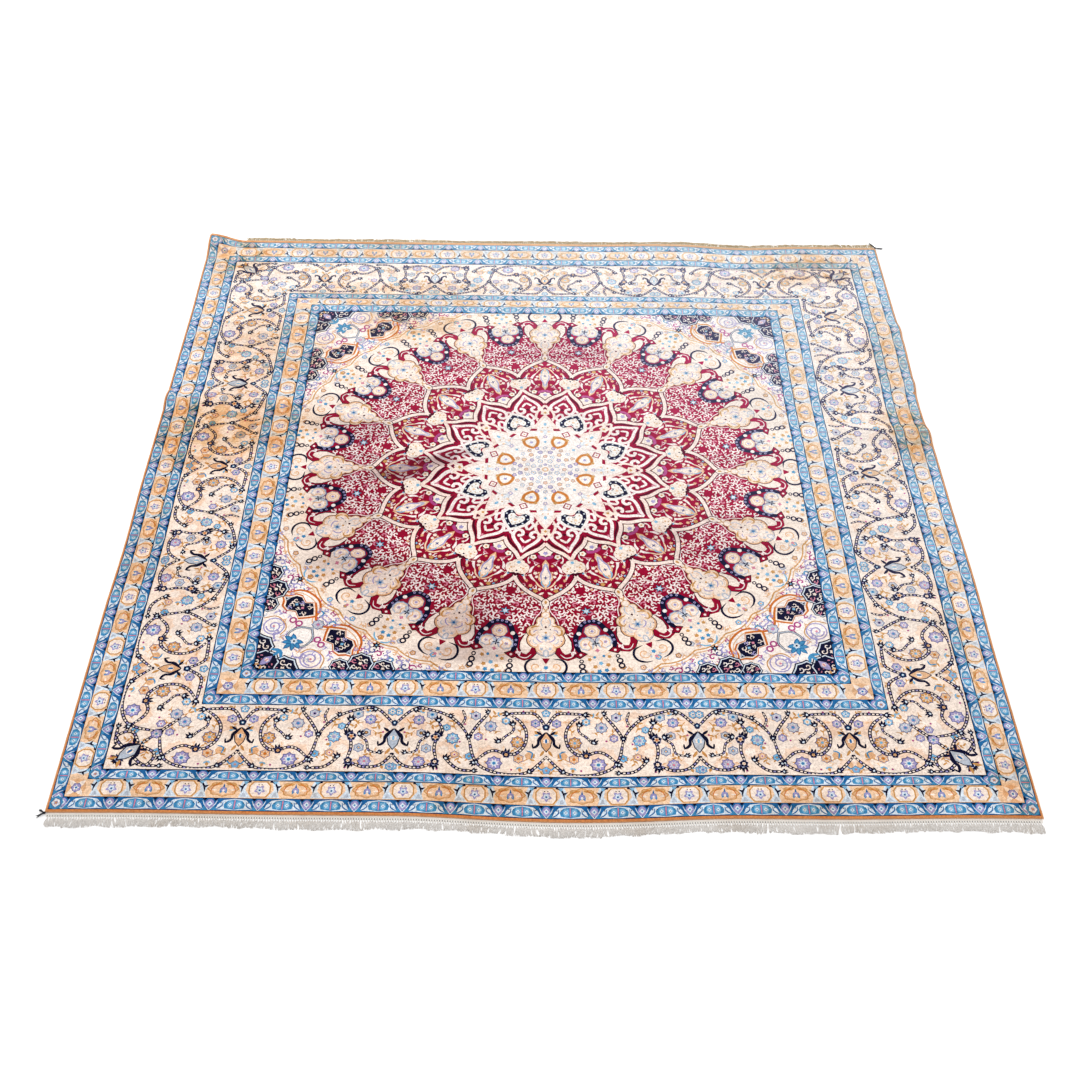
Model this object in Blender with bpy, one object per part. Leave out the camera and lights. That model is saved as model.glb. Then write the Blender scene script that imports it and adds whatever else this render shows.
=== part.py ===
"""A square knotted medallion carpet, lying face up on its back.

+X runs along the near end, +Y from the near end to the far end and +Z up from the floor. The parts
are laid out about the middle of the pile, and one empty then carries them so that the world origin
is the bottom centre of the whole carpet. Everything is in metres.
"""

import math

import bmesh
import bpy
from mathutils import Vector

# Driving dimensions.
CARPET_SIDE = 2.500  # pile end to end, and over the two side cords
CARPET_THICK = 0.0075  # woven back and pile together
SIDE_CORD = 0.0090  # diameter of the overcast cord along each side
PIECE_GAP = 0.0004  # clearance between neighbouring pieces
WEB_DEPTH = 0.011  # flat-woven end past the last row of knots
WEB_THICK = 0.0024
WEB_STATIONS = 48
FRINGE_THICK = 0.0030
FRINGE_ROOT = 0.004  # unbroken strip that the tassels hang from
TASSEL_PITCH = 0.030
TASSEL_WIDTH = 0.024
TUFT_WIRE = 0.0034  # diameter of a corner tie at its knot
TUFT_TIP = 0.18  # share of that diameter left at a wisp's tip
STATIONS = 96  # steps along each side of the carpet

CORD_HALF = CARPET_SIDE / 2 - SIDE_CORD / 2
PILE_HALF_X = CARPET_SIDE / 2 - SIDE_CORD - PIECE_GAP
PILE_HALF_Y = CARPET_SIDE / 2
STILL_CORE = 0.35  # the middle of the carpet, out to this distance, keeps its true shape

# Where each edge strays from a straight line: position along it, half span, and push outwards.
WAVE_COLUMNS = ("edge", "centre", "half_span", "push")
EDGE_WAVES = (
    ("near", 0.06, 0.44, 0.016),
    ("near", 1.15, 0.45, -0.007),
    ("near", -1.05, 0.40, -0.003),
    ("far", 0.45, 0.26, 0.008),
    ("far", 0.74, 0.22, -0.012),
    ("left", -0.33, 0.26, -0.004),
    ("left", 1.10, 0.30, 0.004),
    ("right", 0.33, 0.22, -0.008),
    ("right", 0.68, 0.16, 0.004),
    ("right", -0.42, 0.30, 0.004),
)

# Low creases that stand off the floor: the two ends of the crest, its height and half its width.
CREASE_COLUMNS = ("x0", "y0", "x1", "y1", "height", "half_width")
CREASES = (
    (-1.70, 0.334, -0.62, 0.330, 0.012, 0.055),
    (0.86, 0.214, 1.60, 0.184, 0.013, 0.055),
    (1.02, 0.444, 1.50, 0.444, 0.009, 0.050),
    (1.04, 0.749, 1.50, 0.749, 0.009, 0.050),
    (-0.47, -0.085, -0.13, 0.145, 0.014, 0.055),
    (-0.70, -0.330, -0.42, -0.450, 0.009, 0.050),
    (-0.33, -0.690, -0.08, -0.725, 0.009, 0.050),
)

# The far left corner curls up: its radius, and how high its tip stands.
CURL_RADIUS = 0.125
CURL_HEIGHT = 0.030

# Fringe at each end: shortest and longest tassel.
FRINGE_COLUMNS = ("end", "shortest", "longest")
FRINGES = (
    ("near", 0.019, 0.029),
    ("far", 0.008, 0.017),
)

# Corner ties: corner signs in x and y, and the reach of each of the two wisps from the knot.
TIE_COLUMNS = ("name", "x_sign", "y_sign", "first", "second")
TIES = (
    ("corner_tie_near_left", -1, -1, (-0.015, 0.011), (-0.017, -0.008)),
    ("corner_tie_far_right", 1, 1, (-0.014, 0.036), (0.027, 0.004)),
)

COLOURS = {
    "pile": ((0.62, 0.42, 0.30, 1.0), 0.75),
    "side_cord": ((0.74, 0.42, 0.22, 1.0), 0.80),
    "cotton_web": ((0.85, 0.80, 0.72, 1.0), 0.90),
    "cotton_fringe": ((0.72, 0.70, 0.66, 1.0), 0.90),
    "dark_yarn": ((0.04, 0.04, 0.05, 1.0), 0.85),
}


def rows(columns, table):
    """The table's rows, each as a dictionary keyed by column name."""
    return [dict(zip(columns, row)) for row in table]


def clear_scene():
    for obj in list(bpy.data.objects):
        bpy.data.objects.remove(obj, do_unlink=True)


def bump(t):
    """A smooth hill of height 1 at 0, which is exactly flat past -1 and 1."""
    return (1 - t * t) ** 2 if abs(t) < 1 else 0.0


def push_out(edge, along):
    """How far this edge stands outside its straight line, at a place along it."""
    waves = [row for row in rows(WAVE_COLUMNS, EDGE_WAVES) if row["edge"] == edge]
    return sum(row["push"] * bump((along - row["centre"]) / row["half_span"]) for row in waves)


def follow(distance):
    """How much of its edge's push a point takes, by its distance from the carpet's middle line."""
    share = max(0.0, (distance - STILL_CORE) / (CARPET_SIDE / 2 - STILL_CORE))
    return share * share


def lie(x, y):
    """Where a point of the woven rectangle lies, seen from above."""
    side = "right" if x > 0 else "left"
    end = "far" if y > 0 else "near"
    out_x = push_out(side, y) * follow(abs(x)) * math.copysign(1, x)
    out_y = push_out(end, x) * follow(abs(y)) * math.copysign(1, y)
    return x + out_x, y + out_y


def lift(x, y):
    """How high the carpet's underside stands off the floor there."""
    height = 0.0
    for crease in rows(CREASE_COLUMNS, CREASES):
        start = Vector((crease["x0"], crease["y0"]))
        run = Vector((crease["x1"], crease["y1"])) - start
        part = max(0.0, min(1.0, (Vector((x, y)) - start).dot(run) / run.length_squared))
        away = (Vector((x, y)) - start - part * run).length
        height += crease["height"] * bump(away / crease["half_width"]) * bump(2 * part - 1)
    corner = Vector((-CARPET_SIDE / 2, CARPET_SIDE / 2))
    height += CURL_HEIGHT * bump((Vector((x, y)) - corner).length / CURL_RADIUS)
    return height


def principled(name):
    colour, roughness = COLOURS[name]
    material = bpy.data.materials.new(name)
    material.use_nodes = True
    shader = material.node_tree.nodes["Principled BSDF"]
    shader.inputs["Base Color"].default_value = colour
    shader.inputs["Roughness"].default_value = roughness
    shader.inputs["Metallic"].default_value = 0.0
    material.diffuse_color = colour
    return material


def add_object(name, data, material, collection, frame):
    obj = bpy.data.objects.new(name, data)
    obj.data.materials.append(material)
    collection.objects.link(obj)
    obj.parent = frame
    return obj


def laid_slab(name, columns, steps, place, thick):
    """A grid laid by place(column, row) as the underside, and raised to its thickness."""
    bm = bmesh.new()
    bmesh.ops.create_grid(bm, x_segments=columns, y_segments=steps, size=1.0)
    for vert in bm.verts:
        vert.co = place(vert.co.x, vert.co.y)
    raised = bmesh.ops.extrude_face_region(bm, geom=bm.faces[:], use_keep_orig=True)
    top = [item for item in raised["geom"] if isinstance(item, bmesh.types.BMVert)]
    bmesh.ops.translate(bm, verts=top, vec=(0, 0, thick))
    bmesh.ops.recalc_face_normals(bm, faces=bm.faces[:])
    mesh = bpy.data.meshes.new(name)
    bm.to_mesh(mesh)
    bm.free()
    return mesh


def carpet_point(u, v):
    """A point of the knotted body's underside, for u and v from -1 to 1 across and along it."""
    x, y = lie(u * PILE_HALF_X, v * PILE_HALF_Y)
    return Vector((x, y, lift(x, y)))


def end_point(end, x, beyond):
    """A point past an end of the pile, at this distance outside it."""
    sign = 1 if end == "far" else -1
    edge_x, edge_y = lie(x, sign * PILE_HALF_Y)
    y = edge_y + sign * beyond
    return Vector((edge_x, y, lift(edge_x, y)))


def end_span(end):
    """Where the web and the fringe of an end start and stop: they end short of the curled corner."""
    return (-PILE_HALF_X + CURL_RADIUS if end == "far" else -PILE_HALF_X), PILE_HALF_X


def end_web(end):
    """The flat-woven strip along one end."""
    start, stop = end_span(end)

    def place(u, v):
        x = start + (stop - start) * (1 + u) / 2
        return end_point(end, x, PIECE_GAP + WEB_DEPTH * (1 + v) / 2)

    return laid_slab(end + "_end_web", WEB_STATIONS, 1, place, WEB_THICK)


def tassel_length(index, shortest, longest):
    """An uneven length that follows slow waves and a quick flutter along the fringe."""
    wave = 0.5 + 0.3 * math.sin(0.31 * index + 1.0) + 0.2 * math.sin(1.9 * index)
    return shortest + (longest - shortest) * wave


def fringe_outline(end, shortest, longest):
    """The comb's outline: along its root, and back over the tassels."""
    start, stop = end_span(end)
    count = round((stop - start) / TASSEL_PITCH)
    pitch = (stop - start) / count
    root = PIECE_GAP + WEB_DEPTH + PIECE_GAP
    notch = root + FRINGE_ROOT
    outline = [end_point(end, start + pitch * step, root).xy for step in range(count + 1)]
    for index in reversed(range(count)):
        left = start + pitch * index + (pitch - TASSEL_WIDTH) / 2
        right = left + TASSEL_WIDTH
        reach = notch + tassel_length(index, shortest, longest)
        for x, beyond in ((right, notch), (right, reach), (left, reach), (left, notch)):
            outline.append(end_point(end, x, beyond).xy)
    return outline


def flat_curve(name, outline, thick):
    curve = bpy.data.curves.new(name, "CURVE")
    curve.dimensions = "2D"
    curve.fill_mode = "BOTH"
    curve.extrude = thick / 2
    spline = curve.splines.new("POLY")
    spline.points.add(len(outline) - 1)
    for point, (x, y) in zip(spline.points, outline):
        point.co = (x, y, 0, 1)
    spline.use_cyclic_u = True
    return curve


def tube_curve(name, route, diameter, taper=None):
    """A round tube along the route, whose radius may be scaled at each point."""
    curve = bpy.data.curves.new(name, "CURVE")
    curve.dimensions = "3D"
    curve.bevel_depth = diameter / 2
    curve.bevel_resolution = 2
    curve.use_fill_caps = True
    spline = curve.splines.new("POLY")
    spline.points.add(len(route) - 1)
    for index, (point, place) in enumerate(zip(spline.points, route)):
        point.co = (*place, 1)
        point.radius = taper[index] if taper else 1.0
    return curve


def side_route(sign):
    """The side cord's middle line, which follows the carpet's edge and its creases."""
    route = []
    for step in range(STATIONS + 1):
        v = -1 + 2 * step / STATIONS
        edge_x, y, height = carpet_point(sign, v)
        x = edge_x + sign * (PIECE_GAP + SIDE_CORD / 2)
        route.append((x, y, height + SIDE_CORD / 2))
    return route


def tie_route(tie):
    """Tip, knot and tip of the yarn tied through a corner."""
    x, y = lie(tie["x_sign"] * CARPET_SIDE / 2, tie["y_sign"] * PILE_HALF_Y)
    knot_x = x + tie["x_sign"] * TUFT_WIRE
    knot_y = y + tie["y_sign"] * TUFT_WIRE
    middle = TUFT_WIRE / 2
    tips = [(knot_x + dx, knot_y + dy, middle) for dx, dy in (tie["first"], tie["second"])]
    return [tips[0], (knot_x, knot_y, middle), tips[1]]


def centre_on_floor(frame, parts):
    """Moves the frame so that the parts' box stands on the floor with its middle at the origin."""
    bpy.context.view_layer.update()
    graph = bpy.context.evaluated_depsgraph_get()
    corners = []
    for obj in parts:
        evaluated = obj.evaluated_get(graph)
        mesh = evaluated.to_mesh()
        corners += [evaluated.matrix_world @ vert.co for vert in mesh.vertices]
        evaluated.to_mesh_clear()
    low = [min(corner[axis] for corner in corners) for axis in range(3)]
    high = [max(corner[axis] for corner in corners) for axis in range(3)]
    frame.location = (-(low[0] + high[0]) / 2, -(low[1] + high[1]) / 2, -low[2])
    print("pile centre moved to", [round(value, 5) for value in frame.location])


def main():
    clear_scene()
    collection = bpy.data.collections.new("persian_carpet")
    bpy.context.scene.collection.children.link(collection)
    frame = bpy.data.objects.new("carpet_frame", None)
    collection.objects.link(frame)
    materials = {name: principled(name) for name in COLOURS}

    body = laid_slab("knotted_carpet", STATIONS, STATIONS, carpet_point, CARPET_THICK)
    parts = [add_object("knotted_carpet", body, materials["pile"], collection, frame)]
    for name, sign in (("side_cord_left", -1), ("side_cord_right", 1)):
        cord = tube_curve(name, side_route(sign), SIDE_CORD)
        parts.append(add_object(name, cord, materials["side_cord"], collection, frame))
    for fringe in rows(FRINGE_COLUMNS, FRINGES):
        end = fringe["end"]
        web = end_web(end)
        parts.append(add_object(end + "_end_web", web, materials["cotton_web"], collection, frame))
        outline = fringe_outline(end, fringe["shortest"], fringe["longest"])
        comb = flat_curve(end + "_fringe", outline, FRINGE_THICK)
        obj = add_object(end + "_fringe", comb, materials["cotton_fringe"], collection, frame)
        obj.location.z = FRINGE_THICK / 2
        parts.append(obj)
    for tie in rows(TIE_COLUMNS, TIES):
        wisps = tube_curve(tie["name"], tie_route(tie), TUFT_WIRE, (TUFT_TIP, 1.0, TUFT_TIP))
        parts.append(add_object(tie["name"], wisps, materials["dark_yarn"], collection, frame))
    centre_on_floor(frame, parts)
    print("parts:", ", ".join(obj.name for obj in parts))


main()
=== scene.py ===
# %% [markdown]
# A knotted carpet with a sixteen pointed medallion, laid flat on a studio floor.
#
# The CAD part already holds the carpet as it is made: one knotted slab, two wrapped side cords, a flat
# woven web and a fringe at each end, and two tufts of yarn tied at corners. This script dresses that
# part. It draws the pattern afresh as flat shapes, lays those shapes on the carpet with all its small
# waves and creases, and gives every yarn its own finish.

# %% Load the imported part
import math

import bmesh
import bpy
import numpy as np
from mathutils import Matrix, Vector
from mathutils.geometry import delaunay_2d_cdt


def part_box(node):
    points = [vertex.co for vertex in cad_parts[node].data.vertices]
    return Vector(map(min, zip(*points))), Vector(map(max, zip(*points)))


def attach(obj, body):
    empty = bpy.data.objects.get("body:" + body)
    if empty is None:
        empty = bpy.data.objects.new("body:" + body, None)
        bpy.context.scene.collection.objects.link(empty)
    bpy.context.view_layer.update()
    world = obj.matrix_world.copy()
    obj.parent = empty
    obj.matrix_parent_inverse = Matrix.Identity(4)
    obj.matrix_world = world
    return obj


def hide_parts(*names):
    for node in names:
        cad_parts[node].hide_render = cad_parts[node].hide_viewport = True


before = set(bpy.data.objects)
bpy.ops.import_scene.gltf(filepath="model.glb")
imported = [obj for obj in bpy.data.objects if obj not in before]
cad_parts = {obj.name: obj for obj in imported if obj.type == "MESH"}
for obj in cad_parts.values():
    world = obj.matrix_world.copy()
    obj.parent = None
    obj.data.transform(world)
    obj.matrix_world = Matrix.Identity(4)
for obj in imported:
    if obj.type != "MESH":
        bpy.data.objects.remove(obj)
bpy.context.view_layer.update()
print("nodes:", ", ".join(sorted(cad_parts)))

# %% [markdown]
# The camera stands in front of the near edge, a little higher than a person, and looks down at the
# carpet. The carpet's square and the spacing of its stripes give that place and the lens.

# %% Camera
CAMERA_PLACE = (-0.0604, -3.0935, 2.9310)
CAMERA_LENS = 45.35
LOOK_RIGHT = (0.99990, 0.00057, 0.01391)
LOOK_DOWN = (0.01004, -0.72216, -0.69165)

camera_data = bpy.data.cameras.new("camera")
camera_data.sensor_fit = "HORIZONTAL"
camera_data.sensor_width = 36.0
camera_data.lens = CAMERA_LENS
camera_data.dof.use_dof = False
camera = bpy.data.objects.new("camera", camera_data)
bpy.context.scene.collection.objects.link(camera)
right = Vector(LOOK_RIGHT).normalized()
up = -Vector(LOOK_DOWN)
up = (up - right * up.dot(right)).normalized()
turn = Matrix((right, up, right.cross(up))).transposed()
camera.matrix_world = Matrix.Translation(CAMERA_PLACE) @ turn.to_4x4()
bpy.context.scene.camera = camera

# %% [markdown]
# A pale floor with nothing else on it, and soft light from a wide overhead panel and the white room.

# %% Floor and light
floor_mesh = bpy.data.meshes.new("floor")
floor_mesh.from_pydata([(-30, -30, 0), (30, -30, 0), (30, 30, 0), (-30, 30, 0)], [], [(0, 1, 2, 3)])
floor = bpy.data.objects.new("floor", floor_mesh)
bpy.context.scene.collection.objects.link(floor)
floor_paint = bpy.data.materials.new("floor_paint")
floor_paint.use_nodes = True
floor_skin = floor_paint.node_tree.nodes["Principled BSDF"]
floor_skin.inputs["Base Color"].default_value = (0.96, 0.96, 0.96, 1)
floor_skin.inputs["Roughness"].default_value = 0.9
floor_skin.inputs["Emission Color"].default_value = (1, 1, 1, 1)
floor_skin.inputs["Emission Strength"].default_value = 0.22
floor_mesh.materials.append(floor_paint)

world = bpy.data.worlds.new("studio")
bpy.context.scene.world = world
world.use_nodes = True
world.node_tree.nodes["Background"].inputs["Color"].default_value = (1, 1, 1, 1)
world.node_tree.nodes["Background"].inputs["Strength"].default_value = 0.70


def panel(name, place, aim, size, power):
    """A soft square light at a place, turned to face a point."""
    light = bpy.data.lights.new(name, "AREA")
    light.shape = "SQUARE"
    light.size = size
    light.energy = power
    lamp = bpy.data.objects.new(name, light)
    lamp.location = place
    lamp.rotation_euler = (Vector(aim) - Vector(place)).to_track_quat("-Z", "Y").to_euler()
    bpy.context.scene.collection.objects.link(lamp)
    return lamp


panel("far_window", (-2.2, 4.2, 3.2), (0, 0.3, 0), 2.0, 105)
panel("overhead", (0.5, -0.8, 4.5), (0, 0, 0), 3.0, 55)
bpy.context.scene.view_settings.view_transform = "Standard"
print("camera and light are set")

# %% [markdown]
# The carpet doesn't lie perfectly true: its edges wander by up to 16 mm, a few creases from folding
# still stand up, and one far corner curls. These functions repeat the part's own rules, so that every
# thread drawn here follows the solid beneath it. Places are measured from the pile's middle.

# %% How the carpet lies
CARPET_SIDE = 2.500
CARPET_THICK = 0.0075
SIDE_CORD = 0.0052
PIECE_GAP = 0.0004
WEB_DEPTH = 0.011
WEB_THICK = 0.0024
FRINGE_ROOT = 0.004
PILE_HALF_X = CARPET_SIDE / 2 - SIDE_CORD - PIECE_GAP
PILE_HALF_Y = CARPET_SIDE / 2
STILL_CORE = 0.35
CURL_PLACE = (-1.25, 1.25)
CURL_RADIUS = 0.125
CURL_HEIGHT = 0.030
OUTLINE_STEPS = 97

EDGE_WAVES = (  # edge, centre along it, half span, push outwards
    ("near", 0.06, 0.44, 0.016),
    ("near", 1.15, 0.45, -0.007),
    ("near", -1.05, 0.40, -0.003),
    ("far", 0.45, 0.26, 0.008),
    ("far", 0.74, 0.22, -0.012),
    ("left", -0.33, 0.26, -0.004),
    ("left", 1.10, 0.30, 0.004),
    ("right", 0.33, 0.22, -0.008),
    ("right", 0.68, 0.16, 0.004),
    ("right", -0.42, 0.30, 0.004),
)
CREASES = (  # from x, y, to x, y, height, half width
    (-1.70, 0.334, -0.62, 0.330, 0.012, 0.055),
    (0.86, 0.214, 1.60, 0.184, 0.013, 0.055),
    (1.02, 0.444, 1.50, 0.444, 0.009, 0.050),
    (1.04, 0.749, 1.50, 0.749, 0.009, 0.050),
    (-0.47, -0.085, -0.13, 0.145, 0.014, 0.055),
    (-0.70, -0.330, -0.42, -0.450, 0.009, 0.050),
    (-0.33, -0.690, -0.08, -0.725, 0.009, 0.050),
)


def swell(t):
    """A smooth hill: 1 at t = 0 and nothing beyond t = 1."""
    t = np.clip(np.abs(t), 0, 1)
    return (1 - t * t) ** 2


def push_out(edge, along):
    """How far an edge has moved outwards at places along it."""
    total = np.zeros_like(along)
    for name, centre, half_span, push in EDGE_WAVES:
        if name == edge:
            total = total + push * swell((along - centre) / half_span)
    return total


def follow(distance):
    """The share of an edge's wander that the pile takes up, this far from the middle."""
    share = np.maximum(0, (distance - STILL_CORE) / (CARPET_SIDE / 2 - STILL_CORE))
    return share * share


def lie(x, y):
    """Where a place on the true square really lies."""
    side = np.where(x > 0, push_out("right", y), push_out("left", y))
    end = np.where(y > 0, push_out("far", x), push_out("near", x))
    return x + side * follow(abs(x)) * np.sign(x), y + end * follow(abs(y)) * np.sign(y)


def lift(x, y):
    """How high the underside stands off the floor."""
    height = CURL_HEIGHT * swell(np.hypot(x - CURL_PLACE[0], y - CURL_PLACE[1]) / CURL_RADIUS)
    for x0, y0, x1, y1, rise, half_width in CREASES:
        dx = x1 - x0
        dy = y1 - y0
        part = np.clip(((x - x0) * dx + (y - y0) * dy) / (dx * dx + dy * dy), 0, 1)
        away = np.hypot(x - x0 - part * dx, y - y0 - part * dy)
        height = height + rise * swell(away / half_width) * swell(2 * part - 1)
    return height


def in_part(x, y, z):
    """Places measured from the pile's middle, as places in the part."""
    return np.column_stack((x + MIDDLE_X, y + MIDDLE_Y, z))


outline = np.linspace(-1, 1, OUTLINE_STEPS)
left_x = lie(np.full(OUTLINE_STEPS, -PILE_HALF_X), outline * PILE_HALF_Y)[0]
right_x = lie(np.full(OUTLINE_STEPS, PILE_HALF_X), outline * PILE_HALF_Y)[0]
near_y = lie(outline * PILE_HALF_X, np.full(OUTLINE_STEPS, -PILE_HALF_Y))[1]
far_y = lie(outline * PILE_HALF_X, np.full(OUTLINE_STEPS, PILE_HALF_Y))[1]
low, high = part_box("knotted_carpet")
MIDDLE_X = (low.x + high.x - left_x.min() - right_x.max()) / 2
MIDDLE_Y = (low.y + high.y - near_y.min() - far_y.max()) / 2
print("the pile's middle stands at", round(MIDDLE_X, 5), round(MIDDLE_Y, 5))

# %% [markdown]
# A weaver knots from a cartoon, a drawing on squared paper where each area is one yarn. The same idea
# is used here. A pen lays closed loops of one yarn colour on flat paper, later loops over earlier
# ones. Small helpers move, mirror and thicken those loops, so each motif is written once, about its
# own middle.

# %% Pens and loops
def moved(pen, x=0.0, y=0.0, turn=0.0, size=1.0, flip=False):
    """A pen that lays a motif somewhere else, turned by degrees and scaled."""
    c = size * math.cos(math.radians(turn))
    s = size * math.sin(math.radians(turn))
    side = -1 if flip else 1

    def lay(colour, loop):
        loop = np.asarray(loop, float)
        across = loop[:, 0] * side
        pen(colour, np.column_stack((x + c * across - s * loop[:, 1], y + s * across + c * loop[:, 1])))

    return lay


def mirrored(pen):
    """A pen that lays each loop and its reflection in the upright axis."""

    def lay(colour, loop):
        pen(colour, loop)
        pen(colour, np.asarray(loop, float) * (-1, 1))

    return lay


def along(points, step):
    """A smooth line through the points, in even steps."""
    p = np.asarray(points, float)
    if len(p) < 3:
        fine = p
    else:
        before = np.vstack((2 * p[0] - p[1], p[:-1]))[:-1]
        after = np.vstack((p[1:], 2 * p[-1] - p[-2]))[1:]
        rows = []
        for a, b, c, d in zip(before, p[:-1], p[1:], after):
            for t in np.linspace(0, 1, 8, endpoint=False):
                bend = 3 * (b - c) + d - a
                rows.append(b + 0.5 * t * (c - a + t * (2 * a - 5 * b + 4 * c - d + t * bend)))
        rows.append(p[-1])
        fine = np.array(rows)
    reach = np.concatenate(([0], np.cumsum(np.hypot(*np.diff(fine, axis=0).T))))
    count = max(2, int(round(reach[-1] / step)) + 1)
    stops = np.linspace(0, reach[-1], count)
    return np.column_stack((np.interp(stops, reach, fine[:, 0]), np.interp(stops, reach, fine[:, 1])))


def ribbon(points, width, start=1.0, end=1.0, step=0.006):
    """The outline of a line with a width, which can taper towards either end."""
    path = along(points, step)
    run = np.gradient(path, axis=0)
    run = run / np.maximum(np.hypot(run[:, 0], run[:, 1]), 1e-9)[:, None]
    side = np.column_stack((-run[:, 1], run[:, 0]))
    t = np.linspace(0, 1, len(path))
    taper = np.minimum(1, np.minimum(start + 3 * t, end + 3 * (1 - t)))
    half = (0.5 * width * taper)[:, None]
    return np.vstack((path + side * half, (path - side * half)[::-1]))


def oval(x, y, rx, ry=None, steps=10, turn=0.0):
    """A closed round or oval."""
    ry = rx if ry is None else ry
    a = np.linspace(0, 2 * math.pi, steps, endpoint=False)
    c, s = math.cos(math.radians(turn)), math.sin(math.radians(turn))
    px = rx * np.cos(a)
    py = ry * np.sin(a)
    return np.column_stack((x + c * px - s * py, y + s * px + c * py))


def petals(x, y, radius, count, depth=0.3, turn=0.0, fine=3):
    """A round with petals."""
    a = np.linspace(0, 2 * math.pi, count * fine, endpoint=False)
    r = radius * (1 - depth / 2 + depth / 2 * np.cos(count * a))
    a = a + math.radians(turn)
    return np.column_stack((x + r * np.sin(a), y + r * np.cos(a)))


def leaf(length, width, bend=0.0):
    """A pointed leaf from the origin along +y; bend carries its tip sideways."""
    t = np.array((0, 0.32, 0.70, 1.0))
    half = width * np.array((0.14, 0.50, 0.38, 0.0))
    middle = bend * t * t
    right = np.column_stack((middle + half, length * t))
    left = np.column_stack((middle - half, length * t))
    return np.vstack((right, left[-2::-1]))


def spiral(x, y, r0, r1, a0, a1, steps=14):
    """Points on a spiral, with angles in degrees clockwise from +y."""
    t = np.linspace(0, 1, steps)
    r = r0 + (r1 - r0) * t
    a = np.radians(a0 + (a1 - a0) * t)
    return np.column_stack((x + r * np.sin(a), y + r * np.cos(a)))


def whole(half):
    """A closed loop from its right half: each point off the axis is mirrored."""
    return np.array(list(half) + [(-x, y) for x, y in reversed(half) if x])


def sized(loop, size, level):
    """A loop made larger or smaller about a place on its axis."""
    middle = np.array((0, level))
    return (loop - middle) * size + middle


def polar(theta, radius):
    """A place about the medallion's middle, with theta in degrees from the axis."""
    a = np.radians(theta)
    return np.column_stack((radius * np.sin(a), radius * np.cos(a)))


# %% [markdown]
# The dyes. A figured carpet of this kind uses about twenty: a crimson and its dark outline, navy for
# the drawing, two blues, soft greys, creams, apricot and ochre.

# %% Yarn colours
DYES = {
    "crimson": "980030",
    "maroon": "48001E",
    "pink": "FCEFEC",
    "rose": "D98BA0",
    "magenta": "B04A86",
    "strap": "FAE4DA",
    "ivory": "FCF2EC",
    "peach": "F8DBC6",
    "cream": "FAE9DC",
    "apricot": "F5D2B2",
    "tan": "E6B890",
    "ochre": "CE9A5E",
    "orange": "CE7430",
    "edge": "D5905C",
    "navy": "0E1034",
    "blue": "4C93C0",
    "deep": "286DA4",
    "sky": "86BADA",
    "pale": "DCE6F0",
    "grey": "BFC6D2",
    "lavender": "A79FCB",
    "white": "F6F2EE",
    "shade": "5E6390",
}
DYE_NAMES = list(DYES)


def dye(code):
    """A written colour as linear light."""
    parts = [int(code[i : i + 2], 16) / 255 for i in (0, 2, 4)]
    return [p / 12.92 if p <= 0.04045 else ((p + 0.055) / 1.055) ** 2.4 for p in parts] + [1.0]


DYE_LIGHT = np.array([dye(DYES[name]) for name in DYE_NAMES])
print(len(DYES), "dyes")

# %% [markdown]
# Turning a cartoon into cloth. All loops of a cartoon are cut into triangles together, so that each
# triangle belongs to one yarn. A triangle takes the yarn of the last loop laid over its middle. A
# light grid of extra points keeps the triangles small enough to bend over a crease.

# %% Cutting a cartoon
def covers(loop, points):
    """Which points lie inside a loop, where it may cross itself."""
    a = loop
    b = np.roll(loop, -1, axis=0)
    turns = np.zeros(len(points), int)
    for (x0, y0), (x1, y1) in zip(a, b):
        left = (x1 - x0) * (points[:, 1] - y0) - (points[:, 0] - x0) * (y1 - y0)
        turns += (y0 <= points[:, 1]) & (points[:, 1] < y1) & (left > 0)
        turns -= (y1 <= points[:, 1]) & (points[:, 1] < y0) & (left < 0)
    return turns != 0


def in_short_steps(loop, step):
    """A loop with points added wherever an edge is longer than a step."""
    rows = []
    for a, b in zip(loop, np.roll(loop, -1, axis=0)):
        count = int(math.hypot(*(b - a)) / step) + 1
        rows.append(a + (b - a) * np.linspace(0, 1, count, endpoint=False)[:, None])
    return np.vstack(rows)


def coloured(points, edges, border, near):
    """Triangles cut along the edges, with the yarn of each: (points, corners, yarn)."""
    made = delaunay_2d_cdt(points, edges, [], 0, 1e-5, False)
    points = np.array([tuple(p) for p in made[0]])
    corners = np.array(made[2])
    middles = points[corners].mean(axis=1)
    a, b, c = (points[corners[:, i]] for i in range(3))
    twice_area = np.abs((b - a)[:, 0] * (c - a)[:, 1] - (b - a)[:, 1] * (c - a)[:, 0])
    longest = np.max([np.hypot(*(q - p).T) for p, q in ((a, b), (b, c), (c, a))], axis=0)
    kept = covers(border, middles) & (twice_area > longest * 8e-6)
    corners = corners[kept]
    middles = middles[kept]
    yarn = np.zeros(len(corners), int)
    for colour, loop in near:
        box = (middles > loop.min(axis=0)).all(axis=1) & (middles < loop.max(axis=0)).all(axis=1)
        where = np.flatnonzero(box)
        inside = where[covers(loop, middles[where])]
        yarn[inside] = DYE_NAMES.index(colour)
    return points, corners, yarn


def yarn_lines(corners, yarn):
    """The edges that part two yarns, and those on the rim."""
    ends = np.concatenate((corners[:, [0, 1]], corners[:, [1, 2]], corners[:, [2, 0]]))
    lines, index = np.unique(np.sort(ends, axis=1), axis=0, return_inverse=True)
    index = index.reshape(-1)
    each = np.tile(yarn, 3).astype(float)
    count = np.bincount(index)
    total = np.bincount(index, weights=each)
    squares = np.bincount(index, weights=each * each)
    return lines[(count == 1) | (count * squares - total * total > 0.5)]


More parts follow.
